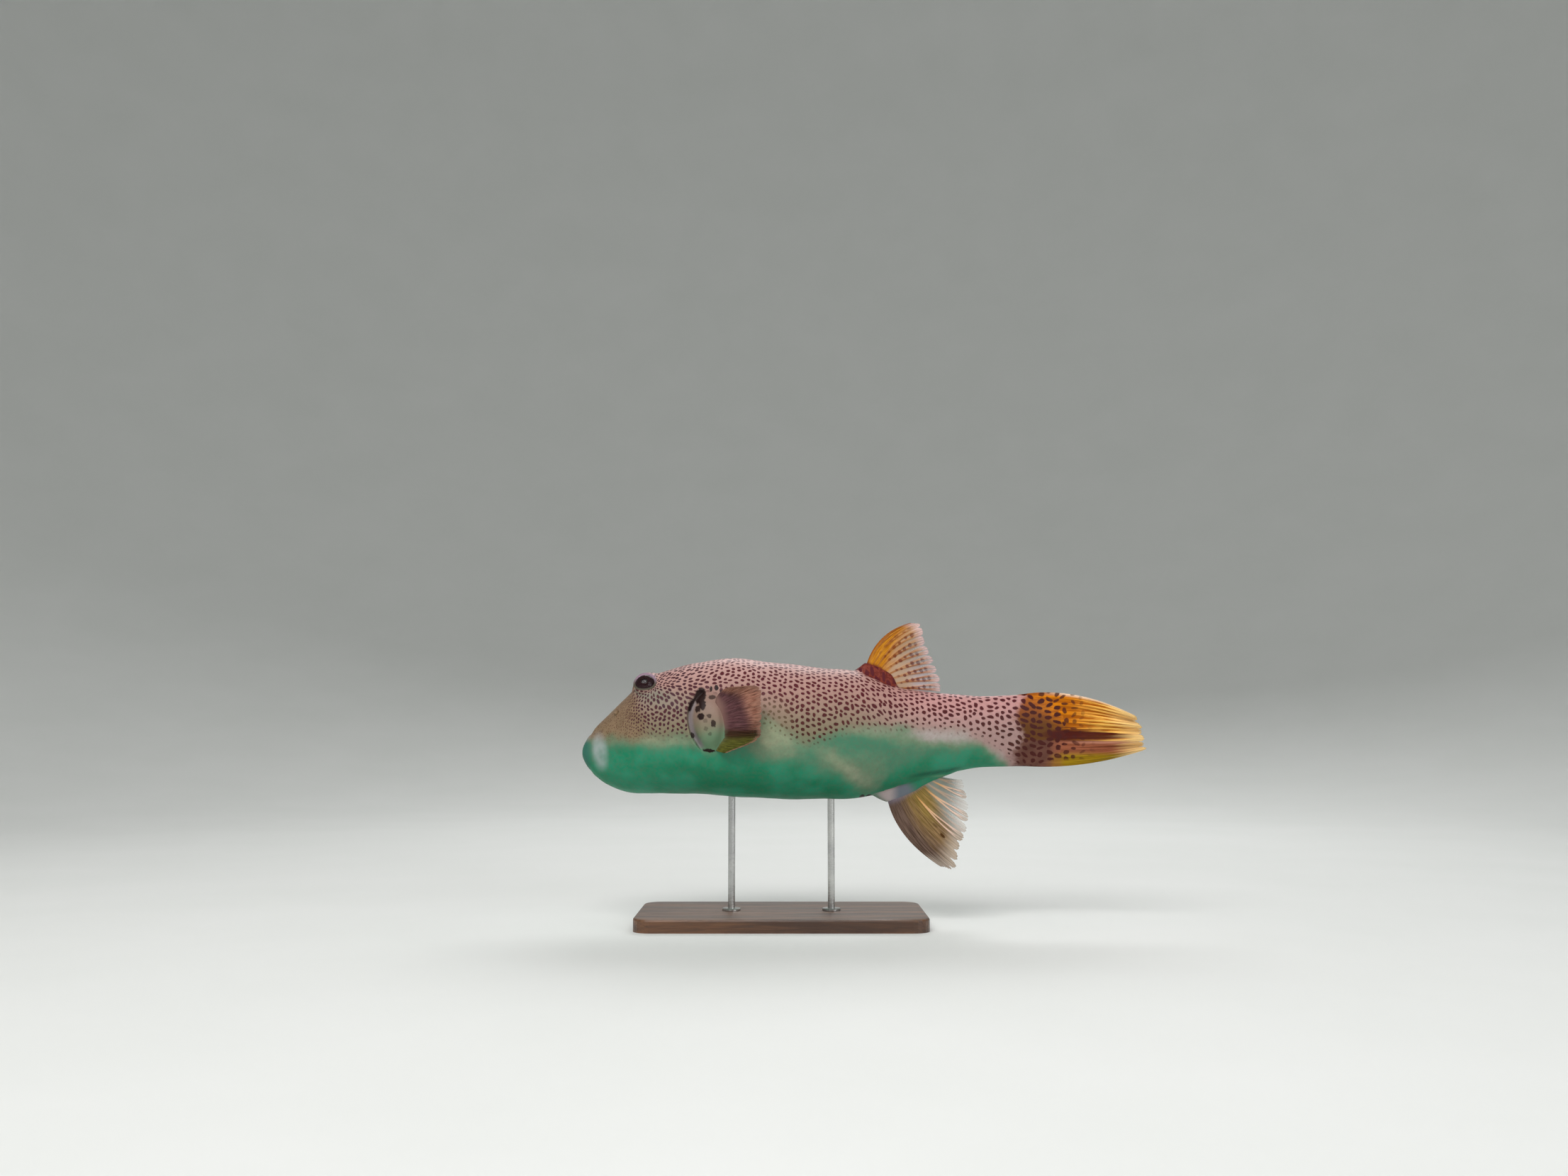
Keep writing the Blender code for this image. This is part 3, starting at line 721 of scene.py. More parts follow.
def make_fin(name, side=1):
    """A fin with its rays, its zones and the map that its spots follow."""
    kind = "pectoral_fin" if name.startswith("pectoral") else name
    fin = FINS[kind]
    columns = fin["rays"] * RAY_COLUMNS
    obj = new_primitive(
        name + "_skin", bpy.ops.mesh.primitive_grid_add,
        x_subdivisions=columns, y_subdivisions=FIN_ROWS, size=2,
    )
    grid = values_of(obj.data.vertices, "co", 3)
    across, up = (grid[:, 0] + 1) / 2, (grid[:, 1] + 1) / 2
    along = -HIDDEN_ROOT + (1 + HIDDEN_ROOT) * up
    place = fin_middle(kind, across, along)
    rays = branches(across, np.clip(along, 0, 1), fin["rays"])
    root, middle, edge = fin["thick"]
    thick = np.interp(along, (-0.1, 0.0, 0.32, 0.7, 1), (root, root, middle, middle * 0.7, edge))
    thick = thick * (1 - 0.45 * (1 - rays) * smoothstep(0.1, 0.35, along))
    thick = thick + 0.5 * rays * smoothstep(0.12, 0.4, along)
    sides = smoothstep(0, 0.10, across) * smoothstep(0, 0.10, 1 - across)
    thick = thick * (0.3 + 0.7 * np.maximum(sides, smoothstep(0.5, 0.7, along)))
    group = obj.vertex_groups.new(name="flesh")
    most = thick.max()
    for index, share in enumerate(thick / most):
        group.add([index], float(share), "REPLACE")
    set_coordinates(obj.data, to_scene(place * [1, side, 1]))
    obj.data.uv_layers[0].name = "FinMap"
    for zone, values in (("ray", rays), ("along", along), ("across", across)):
        add_attribute(obj, zone, values)
    corner = values_of(obj.data.loops, "vertex_index", kind=int)
    add_map(obj, "SpotMap", *tail_spot_map(place[corner]))
    solid = obj.modifiers.new("flesh", "SOLIDIFY")
    solid.thickness, solid.offset = most * MM, 0
    solid.vertex_group = "flesh"
    solid.use_even_offset = False
    bpy.ops.object.modifier_apply(modifier=solid.name)
    obj.vertex_groups.clear()
    return finish_mesh(obj)


fins = {name: make_fin(name) for name in ("dorsal_fin", "anal_fin", "caudal_fin")}
fins["pectoral_fin_left"] = make_fin("pectoral_fin_left", -1)
fins["pectoral_fin_right"] = make_fin("pectoral_fin_right", 1)

# %% [markdown]
# ## Model the eyes
#
# A fish's eye is a ball with a clear window. The ball is a UV sphere whose front is pressed flat for
# the iris, with a pit for the pupil. A second, thin and clear piece bulges over it as the cornea.

# %% Make the eyes
def turned_ball(name, side, rings, columns, shape):
    """A sphere with its pole along the gaze. shape gives the reach at each angle off the gaze."""
    obj = new_primitive(
        name, bpy.ops.mesh.primitive_uv_sphere_add, segments=columns, ring_count=rings, radius=1
    )
    ball = values_of(obj.data.vertices, "co", 3)
    angle = np.degrees(np.arccos(np.clip(ball[:, 2], -1, 1)))
    gaze = Vector(GAZE * [1, side, 1])
    turn = np.array(gaze.to_track_quat("Z", "Y").to_matrix())
    local = ball * shape(angle)[:, None]
    set_coordinates(obj.data, to_scene(local @ turn.T + EYE_AT * [1, side, 1]))
    add_attribute(obj, "off_gaze", np.hypot(local[:, 0], local[:, 1]))
    return finish_mesh(obj)


def eyeball_reach(angle):
    """A ball whose iris is a little flatter than the rest, with a shallow pupil."""
    iris = EYE_RADIUS - 0.35 - 1.5 * fade(28, 46, angle)
    return iris - 0.5 * fade(15, 18, angle)


def cornea_reach(angle):
    return EYE_RADIUS + 0.9 * fade(20, 56, angle) - 3 * smoothstep(75, 100, angle)


eyes = {}
for side_name, side in (("left", -1), ("right", 1)):
    eyes[side_name] = (
        turned_ball(f"eyeball_{side_name}", side, 60, 72, eyeball_reach),
        turned_ball(f"cornea_{side_name}", side, 48, 64, cornea_reach),
    )

# %% [markdown]
# ## Model the nasal flaps
#
# In front of each eye a puffer carries a short stalk that forks into two flat lobes, which is its
# nostril. A small ball is stretched out of the snout, flattened and forked.

# %% Make the nasal flaps
FLAP_AT = np.array([50.0, 22.0])  # behind the snout, height
FLAP_OUTWARD = (-0.42, 0.52, 0.74)


def make_flap(side_name, side):
    """A ball that is drawn out along its own axis, flattened and forked, then set on the snout."""
    obj = new_primitive(
        f"nasal_flap_{side_name}_skin", bpy.ops.mesh.primitive_uv_sphere_add,
        segments=40, ring_count=48, radius=1,
    )
    ball = values_of(obj.data.vertices, "co", 3)
    up = (ball[:, 2] + 1) / 2
    fork = smoothstep(0.45, 1.0, up)
    lobe = np.sign(ball[:, 0]) * 2.6 * fork
    along = ball[:, 0] * (3.0 + 1.0 * fork) * (1 - 0.25 * fork) + lobe
    across = ball[:, 1] * (2.6 - 1.3 * fork)
    reach = -4 + 11.5 * up - 3.4 * fork * bell(ball[:, 0], 0.28)
    frame_z = np.array(Vector(FLAP_OUTWARD).normalized()) * [1, side, 1]
    frame_x = np.cross([0, side, 0], frame_z)
    frame_x /= np.linalg.norm(frame_x)
    frame_y = np.cross(frame_z, frame_x)
    base = np.array([FLAP_AT[0], side * flap_out, FLAP_AT[1]])
    place = base + along[:, None] * frame_x + across[:, None] * frame_y + reach[:, None] * frame_z
    set_coordinates(obj.data, to_scene(place))
    return finish_mesh(obj)


near_flap = formed[(formed[:, 1] > 0) & (np.linalg.norm(formed[:, [0, 2]] - FLAP_AT, axis=1) < 3)]
flap_out = float(near_flap[:, 1].mean())
print("the flaps stand", round(flap_out, 1), "mm out")
flaps = {name: make_flap(name, side) for name, side in (("left", -1), ("right", 1))}

# %% [markdown]
# ## A short way to write materials
#
# A material is a net of nodes. Added one by one they take many lines. Here a Wire stands for a value on
# its way through the net, and arithmetic on wires adds Math nodes: a + b * 2 makes two. A Net adds the
# other kinds of node in one call each, so a material reads from its pattern to its colour. A colour is
# three numbers, red, green and blue, as it looks on a screen.

# %% Helpers for node nets
def screen(red, green, blue):
    """A colour as it looks on a screen, 0 to 1, as the light values that a shader takes."""
    light = [c / 12.92 if c <= 0.04045 else ((c + 0.055) / 1.055) ** 2.4 for c in (red, green, blue)]
    return (*light, 1)


class Wire:
    """A value on its way through a net."""

    def __init__(self, net, socket):
        self.net, self.socket = net, socket

    def __abs__(self):
        return self.net.maths("ABSOLUTE", self)


def arithmetic(operation, swapped):
    """What a sign does with a wire: it adds a Math node."""
    def add_node(wire, other):
        return wire.net.maths(operation, *((other, wire) if swapped else (wire, other)))
    return add_node


SIGNS = {"add": "ADD", "sub": "SUBTRACT", "mul": "MULTIPLY", "truediv": "DIVIDE", "pow": "POWER"}
for sign, operation in SIGNS.items():
    setattr(Wire, f"__{sign}__", arithmetic(operation, swapped=False))
    setattr(Wire, f"__r{sign}__", arithmetic(operation, swapped=True))


def vary(value, noise, most):
    """The value, moved up or down by noise, at most by about half of most."""
    return value + (noise - 0.5) * most


class Net:
    """A net of nodes and the sockets where it ends: its shader's inputs or its group's outputs."""

    def __init__(self, tree, ends):
        self.tree, self.ends = tree, ends

    def feed(self, socket, value):
        if isinstance(value, Wire):
            self.tree.links.new(value.socket, socket)
        elif value is not None:
            socket.default_value = value

    def end(self, **values):
        """Ends the net: each value goes to the socket with its name."""
        for name, value in values.items():
            self.feed(self.ends[name.replace("_", " ")], value)

    def add(self, kind, inputs=(), **settings):
        """Adds a node, and gives the wires that leave it by number and by name."""
        node = self.tree.nodes.new("ShaderNode" + kind)
        for name, value in settings.items():
            setattr(node, name, value)
        for name, value in dict(inputs).items():
            self.feed(node.inputs[name], value)
        wires = [Wire(self, socket) for socket in node.outputs]
        return dict(enumerate(wires)) | {wire.socket.name: wire for wire in wires}

    def maths(self, operation, *values):
        return self.add("Math", enumerate(values), operation=operation)[0]

    def distance(self, across, along):
        """How far off a place is whose two distances are known."""
        return self.maths("SQRT", across**2.0 + along**2.0)

    def turned(self, along, across, angle):
        """The two parts of a flat offset, measured in a frame that is turned by the angle."""
        cosine, sine = self.maths("COSINE", angle), self.maths("SINE", angle)
        return along * cosine + across * sine, across * cosine - along * sine

    def vector(self, operation, *values, scale=None):
        inputs = dict(enumerate(values)) | ({"Scale": scale} if operation == "SCALE" else {})
        return self.add("VectorMath", inputs, operation=operation)[0]

    def shaken(self, place, scale, detail, most):
        """A place, moved a little every way by noise."""
        shift = self.vector("SUBTRACT", self.noise(place, scale, detail, output="Color"), (0.5, 0.5, 0.5))
        return self.vector("ADD", place, self.vector("MULTIPLY", shift, most))

    def split(self, place, kind="SeparateXYZ"):
        """The three numbers of a place, or of a colour."""
        wires = self.add(kind, {0: place})
        return wires[0], wires[1], wires[2]

    def join(self, x, y):
        """A place on a flat map."""
        return self.add("CombineXYZ", {0: x, 1: y})[0]

    def mix(self, share, first, second):
        """Mixes two colours. Three numbers are a colour as it looks on a screen."""
        first, second = (screen(*c) if isinstance(c, tuple) else c for c in (first, second))
        return self.add("Mix", {0: share, 6: first, 7: second}, data_type="RGBA")[2]

    def ramp(self, value, low, high, first, second):
        """The first colour up to low, and the second from high on."""
        return self.mix(self.step(value, low, high), first, second)

    def layers(self, ground, *coats):
        """Lays coats over a ground, each with how much of it there is and its colour."""
        for share, colour in coats:
            ground = self.mix(share, ground, colour)
        return ground

    def step(self, value, low, high, to_low=0.0, to_high=1.0):
        """A soft step: the one number at low, the other at high, and a smooth way between."""
        inputs = enumerate((value, low, high, to_low, to_high))
        return self.add("MapRange", inputs, interpolation_type="SMOOTHSTEP")[0]

    def noise(self, place, scale, detail=2.0, roughness=0.5, output="Fac"):
        inputs = {"Vector": place, "Scale": scale, "Detail": detail, "Roughness": roughness}
        return self.add("TexNoise", inputs)[output]

    def attribute(self, name):
        return self.add("Attribute", attribute_name=name)["Fac"]

    def uv(self, name):
        return self.add("UVMap", uv_map=name)["UV"]

    def object_place(self):
        return self.add("TexCoord")["Object"]

    def group(self, group, **inputs):
        named = {name.replace("_", " "): value for name, value in inputs.items()}
        return self.add("Group", named, node_tree=group)

    def bump(self, height, distance, strength=1.0, under=None):
        inputs = {"Height": height, "Distance": distance, "Strength": strength, "Normal": under}
        return self.add("Bump", inputs)["Normal"]


def new_material(name, **constants):
    """A material and its net, which ends in one Principled shader."""
    made = bpy.data.materials.new(name)
    made.use_nodes = True
    net = Net(made.node_tree, made.node_tree.nodes["Principled BSDF"].inputs)
    net.end(**constants)
    return made, net


def new_group(name, inputs, *outputs):
    """A node group, its net and the wires from its inputs, of which None stands for a place."""
    tree = bpy.data.node_groups.new(name, "ShaderNodeTree")
    for socket, value in inputs.items():
        kind = "NodeSocketVector" if value is None else "NodeSocketFloat"
        made = tree.interface.new_socket(name=socket, in_out="INPUT", socket_type=kind)
        if value is not None:
            made.default_value = value
    for socket in outputs:
        kind = "NodeSocketColor" if socket == "Color" else "NodeSocketFloat"
        tree.interface.new_socket(name=socket, in_out="OUTPUT", socket_type=kind)
    net = Net(tree, tree.nodes.new("NodeGroupOutput").inputs)
    sources = tree.nodes.new("NodeGroupInput").outputs
    return tree, net, {socket.name: Wire(net, socket) for socket in sources}


def finish_piece(obj, material, slot, *replaced):
    """Gives a piece its material, and says where it belongs and which solids it stands for."""
    obj.data.materials.append(material)
    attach(obj, "root")
    if replaced:
        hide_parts(*replaced)


# %% [markdown]
# ## Effects that several finishes share
#
# A fish's spots, the small prickles of a puffer's skin, cloudy edges and the rays of its fins turn up
# in more than one material. Each is a node group, made once, that puts out a mask or a height.

# %% Spots
ROOT_3_HALF = 0.866  # how high a triangle with sides of 1 is
SPOT_RADIUS = 0.215
SQUARENESS = 2.15  # 2 makes an oval spot, and more squares it up

spots_group, net, given = new_group(
    "skin spots", {"Place": None, "Size": 1.0, "Turn": 0.0, "Stretch": 1.26}, "Mask", "Shade"
)
u, v, _ = net.split(net.shaken(given["Place"], 0.45, 1.0, (0.9, 0.9, 0)))
# A lattice of triangles, sheared into the squares that the Voronoi node fills with one spot each.
slant = v / ROOT_3_HALF
lattice = net.join(u - slant * 0.5, slant)
cell = net.add("TexVoronoi", {"Vector": lattice, "Scale": 1.0, "Randomness": 0.34}, voronoi_dimensions="2D")
sheared_u, sheared_v, _ = net.split(net.vector("SUBTRACT", lattice, cell["Position"]))
off_u, off_v = sheared_u + sheared_v * 0.5, sheared_v * ROOT_3_HALF
turn_chance, size_chance, stretch_chance = net.split(cell["Color"], "SeparateColor")
swing = net.step(turn_chance, 0.0, 1.0, -1.25, 1.25)
# u runs round the body and v along it
lengthwise, crosswise = net.turned(off_v, off_u, swing * abs(swing) + given["Turn"])
stretch = given["Stretch"] * net.step(stretch_chance, 0, 1, 0.80, 1.12)
lengthwise = abs(lengthwise / (SPOT_RADIUS * stretch)) ** SQUARENESS
crosswise = abs(crosswise / SPOT_RADIUS) ** SQUARENESS
reach = (lengthwise + crosswise) ** (1 / SQUARENESS)
size = given["Size"] * net.step(size_chance, 0, 1, 0.90, 1.07)
edge = vary(reach / size, net.noise(given["Place"], 2.6, 1.5), 0.55)
net.end(Mask=net.step(edge, 1.22, 0.80), Shade=size_chance)
print("group:", spots_group.name)

# %% Cloudy edges
cloud_group, net, given = new_group(
    "cloudy edge", {"Place": None, "Over": 0.0, "Reach": 12.0, "Blur": 5.0, "Scale": 30.0}, "Mask"
)
cloud = net.noise(given["Place"], given["Scale"], 5.0, 0.58)
over = vary(given["Over"], cloud, given["Reach"] * 4.0)
net.end(Mask=net.step(over, given["Blur"] * -1.0, given["Blur"]))
print("group:", cloud_group.name)

# %% Round marks
mark_group, net, given = new_group(
    "round mark",
    {"Place": None, "Middle X": 0.0, "Middle Z": 0.0, "Half Length": 0.01, "Half Height": 0.01, "Tilt": 0.0},
    "Mask",
)
x, _, z = net.split(net.shaken(given["Place"], 300.0, 2.0, (0.004, 0.004, 0.004)))
lengthwise, crosswise = net.turned(x - given["Middle X"], z - given["Middle Z"], given["Tilt"])
reach = net.distance(lengthwise / given["Half Length"], crosswise / given["Half Height"])
net.end(Mask=net.step(reach, 1.2, 0.85))
print("group:", mark_group.name)

# %% Prickles
prickle_group, net, given = new_group(
    "prickly skin", {"Place": None, "Spacing": 0.0018, "Grain": 0.5}, "Height", "Pores"
)
scaled = net.vector("SCALE", given["Place"], scale=1.0 / given["Spacing"])
dots = net.add("TexVoronoi", {"Vector": scaled, "Scale": 1.0, "Randomness": 0.9})["Distance"]
grain = net.noise(scaled, 1.7, 3.0, 0.6)
wrinkle = net.noise(scaled, 0.14, 3.0, 0.55)
height = net.step(dots, 0.42, 0.05) * 0.55 + grain * given["Grain"]
net.end(Height=height + wrinkle * 1.6, Pores=grain)
print("group:", prickle_group.name)

# %% Colours of the tail
tail_group, net, given = new_group("tail colours", {"Place": None, "Fine": 0.5}, "Color")
# from here on places are in mm behind the snout and above the axis, as in the tables
in_mm = net.vector(
    "SCALE", net.vector("SUBTRACT", given["Place"], tuple(to_scene((0, 0, 0)))), scale=1 / MM
)
along, _, up = net.split(in_mm)
fine = given["Fine"]
broad = net.noise(given["Place"], 55.0, 3.0)
up = vary(up, fine, 5.0)
behind = vary(along, broad, 26.0)

brown = net.ramp(up, 0, 40, (0.38, 0.23, 0.08), (0.58, 0.31, 0.14))
gold = net.ramp(fine, 0.3, 0.7, (0.64, 0.33, 0.0), (0.88, 0.52, 0.01))
plum = net.mix(broad, (0.30, 0.17, 0.13), (0.47, 0.31, 0.26))
band = net.mix(fine, (0.44, 0.22, 0.12), (0.66, 0.39, 0.28))
yellow = net.mix(fine, (0.46, 0.33, 0.0), (0.66, 0.54, 0.06))
half_width = net.step(along, 636, 680, 1.5, 7.5) * net.step(along, 800, 700, 0.14, 1.0)
middle = net.step(along, 660, 790, -7.0, -9.5)
from_streak = vary(abs(up - middle) / half_width, fine, 0.7)
edge = vary(along + net.step(up, 0, 12, 0.0, 14.0), fine, 40.0)
net.end(Color=net.layers(
    brown,
    (net.step(behind + up * 1.1, 660, 712), gold),
    # Pale gold rays and, last, a pale edge near the tips: the fin's own light edge, made brighter as painted
    # light shining through the fin.
    (net.step(fine, 0.34, 0.56) * net.step(along, 685, 750) * 0.92, (1.0, 0.79, 0.38)),
    (net.step(up, -13.5, -16.5), net.ramp(behind, 650, 680, plum, band)),
    (net.step(abs(up + 18.0), 3.5, 0.5) * net.step(along, 665, 730) * 0.75, (0.86, 0.60, 0.50)),
    (net.step(up, -30, -38) * net.step(behind, 650, 690), yellow),
    (net.step(from_streak, 1.6, 0.6) * net.step(behind, 636, 666) * 0.97, (0.29, 0.08, 0.06)),
    (net.step(edge, 745, 795, 0.0, 0.95), (1.0, 0.84, 0.55)),
))
print("group:", tail_group.name)

# %% [markdown]
# ## The spotted skin
#
# The colours lie over each other as on the living fish: a belly, painted teal green as painted shade and
# green water light over its own pale colour, a cloudy cream edge, a tanned back, then spots, and last the
# dark marks at the gill, the lips and the root of the tail fin.

# %% The skin's ground colours
skin_material, net = new_material(
    "spotted skin", Specular_IOR_Level=0.13, Coat_Weight=0.04, Coat_Roughness=0.2
)
here = net.object_place()
zone = net.attribute
tan = net.group(cloud_group, Place=here, Over=zone("over_tan"), Reach=8.0, Blur=11.0, Scale=26.0)["Mask"]
cream = net.group(
    cloud_group, Place=here, Over=zone("over_cream"), Reach=10.0, Blur=11.0, Scale=24.0
)["Mask"]
lengthwise, _, height = net.split(here)
broad = net.noise(here, 22.0, 3.0)
fine = net.noise(here, 210.0, 4.0, 0.65)
mottled = net.noise(here, 75.0, 4.0, 0.6)

# The belly's teal green is painted shade and green water light; the fish's own belly is pale.
belly = net.ramp(broad, 0.35, 0.65, (0.10, 0.49, 0.35), (0.17, 0.56, 0.43))
light_cloud = net.ramp(lengthwise, 0.06, 0.20, (0.63, 0.65, 0.53), (0.68, 0.64, 0.62))
creamy = vary(vary(zone("creamy"), broad, 0.9), mottled, 0.6)
# Where the cream clouds thin out the edge stays green: the same painted shade.
cloudy = net.ramp(creamy, -0.1, 0.6, (0.27, 0.50, 0.39), (0.44, 0.54, 0.43))
cloudy = net.ramp(creamy, 0.4, 1.15, cloudy, light_cloud)
# The tan ground is lighter towards the back and darker and greener low on the flank: painted light from above
# and painted shade below.
flank = net.ramp(height, 0.255, 0.335, (0.50, 0.48, 0.38), (0.69, 0.54, 0.50))
rear_flank = net.ramp(height, 0.262, 0.315, (0.66, 0.54, 0.52), (0.79, 0.59, 0.58))
flank = net.ramp(lengthwise, 0.08, 0.24, flank, rear_flank)
back = net.ramp(height, 0.315, 0.378, flank, (0.82, 0.66, 0.64))
snout = net.mix(net.noise(here, 90.0, 3.0), (0.44, 0.37, 0.27), (0.62, 0.52, 0.41))
on_snout = net.step(vary(vary(zone("snout"), mottled, 0.6), broad, 0.5), 0.1, 0.9)
tanned = net.mix(on_snout * 0.9, back, snout)
freckles = net.add("TexVoronoi", {"Vector": here, "Scale": 330.0, "Randomness": 1.0})["Distance"]
ground = net.layers(
    belly,
    (cream, cloudy),
    (tan, tanned),
    (net.step(fine, 0.35, 0.75, 0.0, 0.22), (0.45, 0.33, 0.30)),
    (net.step(freckles, 0.42, 0.22) * (zone("snout") * tan) * 0.62, (0.34, 0.20, 0.15)),
)
print("ground of the skin:", len(skin_material.node_tree.nodes), "nodes so far")

# %% Bare skin at the gills, the fins' roots, the mouth and the eyes
membrane = net.mix(mottled, (0.52, 0.49, 0.50), (0.66, 0.61, 0.64))
front_of_lobe = net.step(lengthwise, 0.168, 0.150) * net.step(lengthwise, 0.12, 0.13) * 0.8
membrane = net.layers(
    membrane, (net.step(lengthwise, 0.10, 0.12), (0.46, 0.49, 0.53)), (front_of_lobe, (0.78, 0.71, 0.70))
)
# The fin's pad is greener and darker low down: painted shade.
pad = net.ramp(height, 0.258, 0.292, (0.40, 0.51, 0.39), (0.58, 0.45, 0.41))
ground = net.layers(
    ground,
    (zone("pad") * net.step(broad, 0.25, 0.7, 0.4, 1.0), pad),
    (zone("membrane"), membrane),
    (zone("patch") * net.step(broad, 0.35, 0.6, 0.3, 0.8), (0.70, 0.72, 0.73)),
    # painted shade below the eye
    (zone("under_eye") * 0.75, (0.48, 0.50, 0.44)),
    # a painted shadow in the crease above the anal fin
    (zone("crease") * net.step(fine, 0.2, 0.6, 0.5, 0.8), (0.09, 0.32, 0.25)),
    (zone("crease_light") * 0.6, (0.48, 0.62, 0.49)),
)
print("with the bare skin:", len(skin_material.node_tree.nodes), "nodes")

# %% The root of the tail fin, the dorsal fin's lobe and the spots
hairs = net.noise(net.vector("MULTIPLY", here, (30.0, 260.0, 260.0)), 1.0, 3.0, 0.6)
tail_colour = net.group(tail_group, Place=here, Fine=hairs)["Color"]
on_tail = vary(vary(vary(zone("caudal"), broad, 0.5), mottled, 0.8), hairs, 0.5)
lobe_red = net.ramp(fine, 0.4, 0.6, (0.40, 0.15, 0.12), (0.50, 0.22, 0.17))

spots = net.group(
    spots_group, Place=net.uv("SpotMap"), Size=zone("spot_size"), Turn=zone("spot_turn"),
    Stretch=1.26 + zone("caudal") * 0.45,
)
spot_mask = spots["Mask"] * zone("spot_strength")
spot_colour = net.layers(
    net.ramp(height, 0.250, 0.33, (0.24, 0.13, 0.10), (0.33, 0.09, 0.14)),
    (net.step(lengthwise, -0.06, -0.14), (0.26, 0.12, 0.17)),
    (spots["Shade"] * 0.35, (0.38, 0.18, 0.17)),
    (zone("faint") * 0.8, (0.35, 0.29, 0.17)),
    (zone("caudal"), (0.27, 0.09, 0.07)),
)
spotted = net.layers(
    ground, (net.step(on_tail, 0.15, 0.75), tail_colour), (zone("lobe"), lobe_red), (spot_mask, spot_colour)
)
print("with the spots:", len(skin_material.node_tree.nodes), "nodes")

# %% Lips and lids in painted highlight and shade, and dark marks with painted shade in the gill slit
# The lips are dark teal-grey low down, painted shade where they curve away from the light, and pink above.
lip = net.ramp(height, 0.250, 0.262, (0.20, 0.42, 0.37), (0.66, 0.58, 0.56))
# The lid's rim is lavender and light on top, a painted highlight, and darker below, painted shade.
lid = net.mix(net.step(zone("lid_top"), 0.35, 0.85), (0.33, 0.31, 0.26), (0.60, 0.50, 0.57))
# (behind the snout, height, half length, half height, tilt in degrees, strength)
MARKS = (
    (169.0, 46, 7.6, 11.5, -10, 1.0), (172.5, 34, 4.6, 7.5, 10, 1.0), (166, 28, 3.6, 5.2, -25, 0.95),
    (170.6, 17.7, 4.8, 4.5, 0, 1.0), (182, 18.6, 2.8, 3.0, 0, 0.75), (188, 8.4, 3.6, 5.0, 12, 0.9),
    (159, -7.4, 2.3, 3.8, 15, 0.9), (178, 1.1, 3.0, 2.8, 0, 0.4), (183.6, -6, 2.4, 2.2, 0, 0.45),
    (177, 12, 2.8, 2.6, 0, 0.35), (181.8, -28.4, 8.6, 2.2, -4, 1.0), (185.4, 44, 5.4, 2.8, 8, 0.8),
    (190.7, 57.5, 2.5, 3.7, 8, 1.0), (183.6, 55.7, 2.0, 3.6, 0, 1.0), (197.9, 51.3, 2.7, 2.7, 0, 1.0),
)
dark = None
for station, up, half_length, half_height, tilt, strength in MARKS:
    middle = to_scene((station, 0, up))
    mark = net.group(
        mark_group, Place=here, Middle_X=middle[0], Middle_Z=middle[2], Half_Length=half_length * MM,
        Half_Height=half_height * MM, Tilt=math.radians(tilt),
    )["Mask"] * strength
    dark = mark if dark is None else net.maths("MAXIMUM", dark, mark)
# The fish's own dark blotches at the gill join the painted shade in the gill slit and the fold under its
# flap, and the dark vent.
marks = net.step(vary(zone("marks"), fine, 0.5), 0.25, 0.8)
marks = net.maths("MAXIMUM", marks, dark * zone("beside"))

prickles = net.group(prickle_group, Place=here)
net.end(
    Base_Color=net.layers(
        spotted,
        (zone("lip") * 0.85, lip),
        (net.step(zone("lid"), 0.25, 0.8), lid),
        (marks * 0.98, (0.13, 0.06, 0.06)),
    ),
    Roughness=prickles["Pores"] * 0.25 + (0.40 - spot_mask * 0.06),
    Normal=net.bump(prickles["Height"], 0.00022, 0.6, under=net.bump(spot_mask, 0.0002, 0.3)),
)
finish_piece(skin, skin_material, "spotted_skin", "head", "trunk", "tail")
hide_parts("dorsal_fin_base", "anal_fin_base", "pectoral_fin_base_left", "pectoral_fin_base_right")
print("material:", skin_material.name, len(skin_material.node_tree.nodes), "nodes")

# %% The nasal flaps' material
flap_material, net = new_material("nasal flaps", Roughness=0.45, Specular_IOR_Level=0.25, Coat_Weight=0.05)
here = net.object_place()
net.end(
    Base_Color=net.mix(net.noise(here, 160.0, 3.0), (0.44, 0.36, 0.26), (0.60, 0.50, 0.39)),
    Normal=net.bump(net.group(prickle_group, Place=here, Spacing=0.0012)["Height"], 0.0002, 0.7),
)
for side_name, flap in flaps.items():
    finish_piece(flap, flap_material, "spotted_skin", "nasal_flap_" + side_name)
print("material:", flap_material.name)

# %% [markdown]
# ## The fins
#
# Every fin has its own colours, but all are streaked along their rays. Two groups serve them all:
# hair-fine streaks from noise stretched along the fin, and rows of spots that sit on the rays. The
# skin between the rays lets some light through, so it is partly transparent towards the free edge.

# %% Streaks and rows of spots
streak_group, net, given = new_group("fin streaks", {"Place": None, "Rays": 11.0}, "Fine", "Broad")
across, along, _ = net.split(given["Place"])
x = across * given["Rays"]
net.end(
    Fine=net.noise(net.join(x * 7.0, along * 5.0), 1.0, 3.0, 0.6),
    Broad=net.noise(net.join(x * 1.4, along * 1.6), 1.0, 2.0),
)

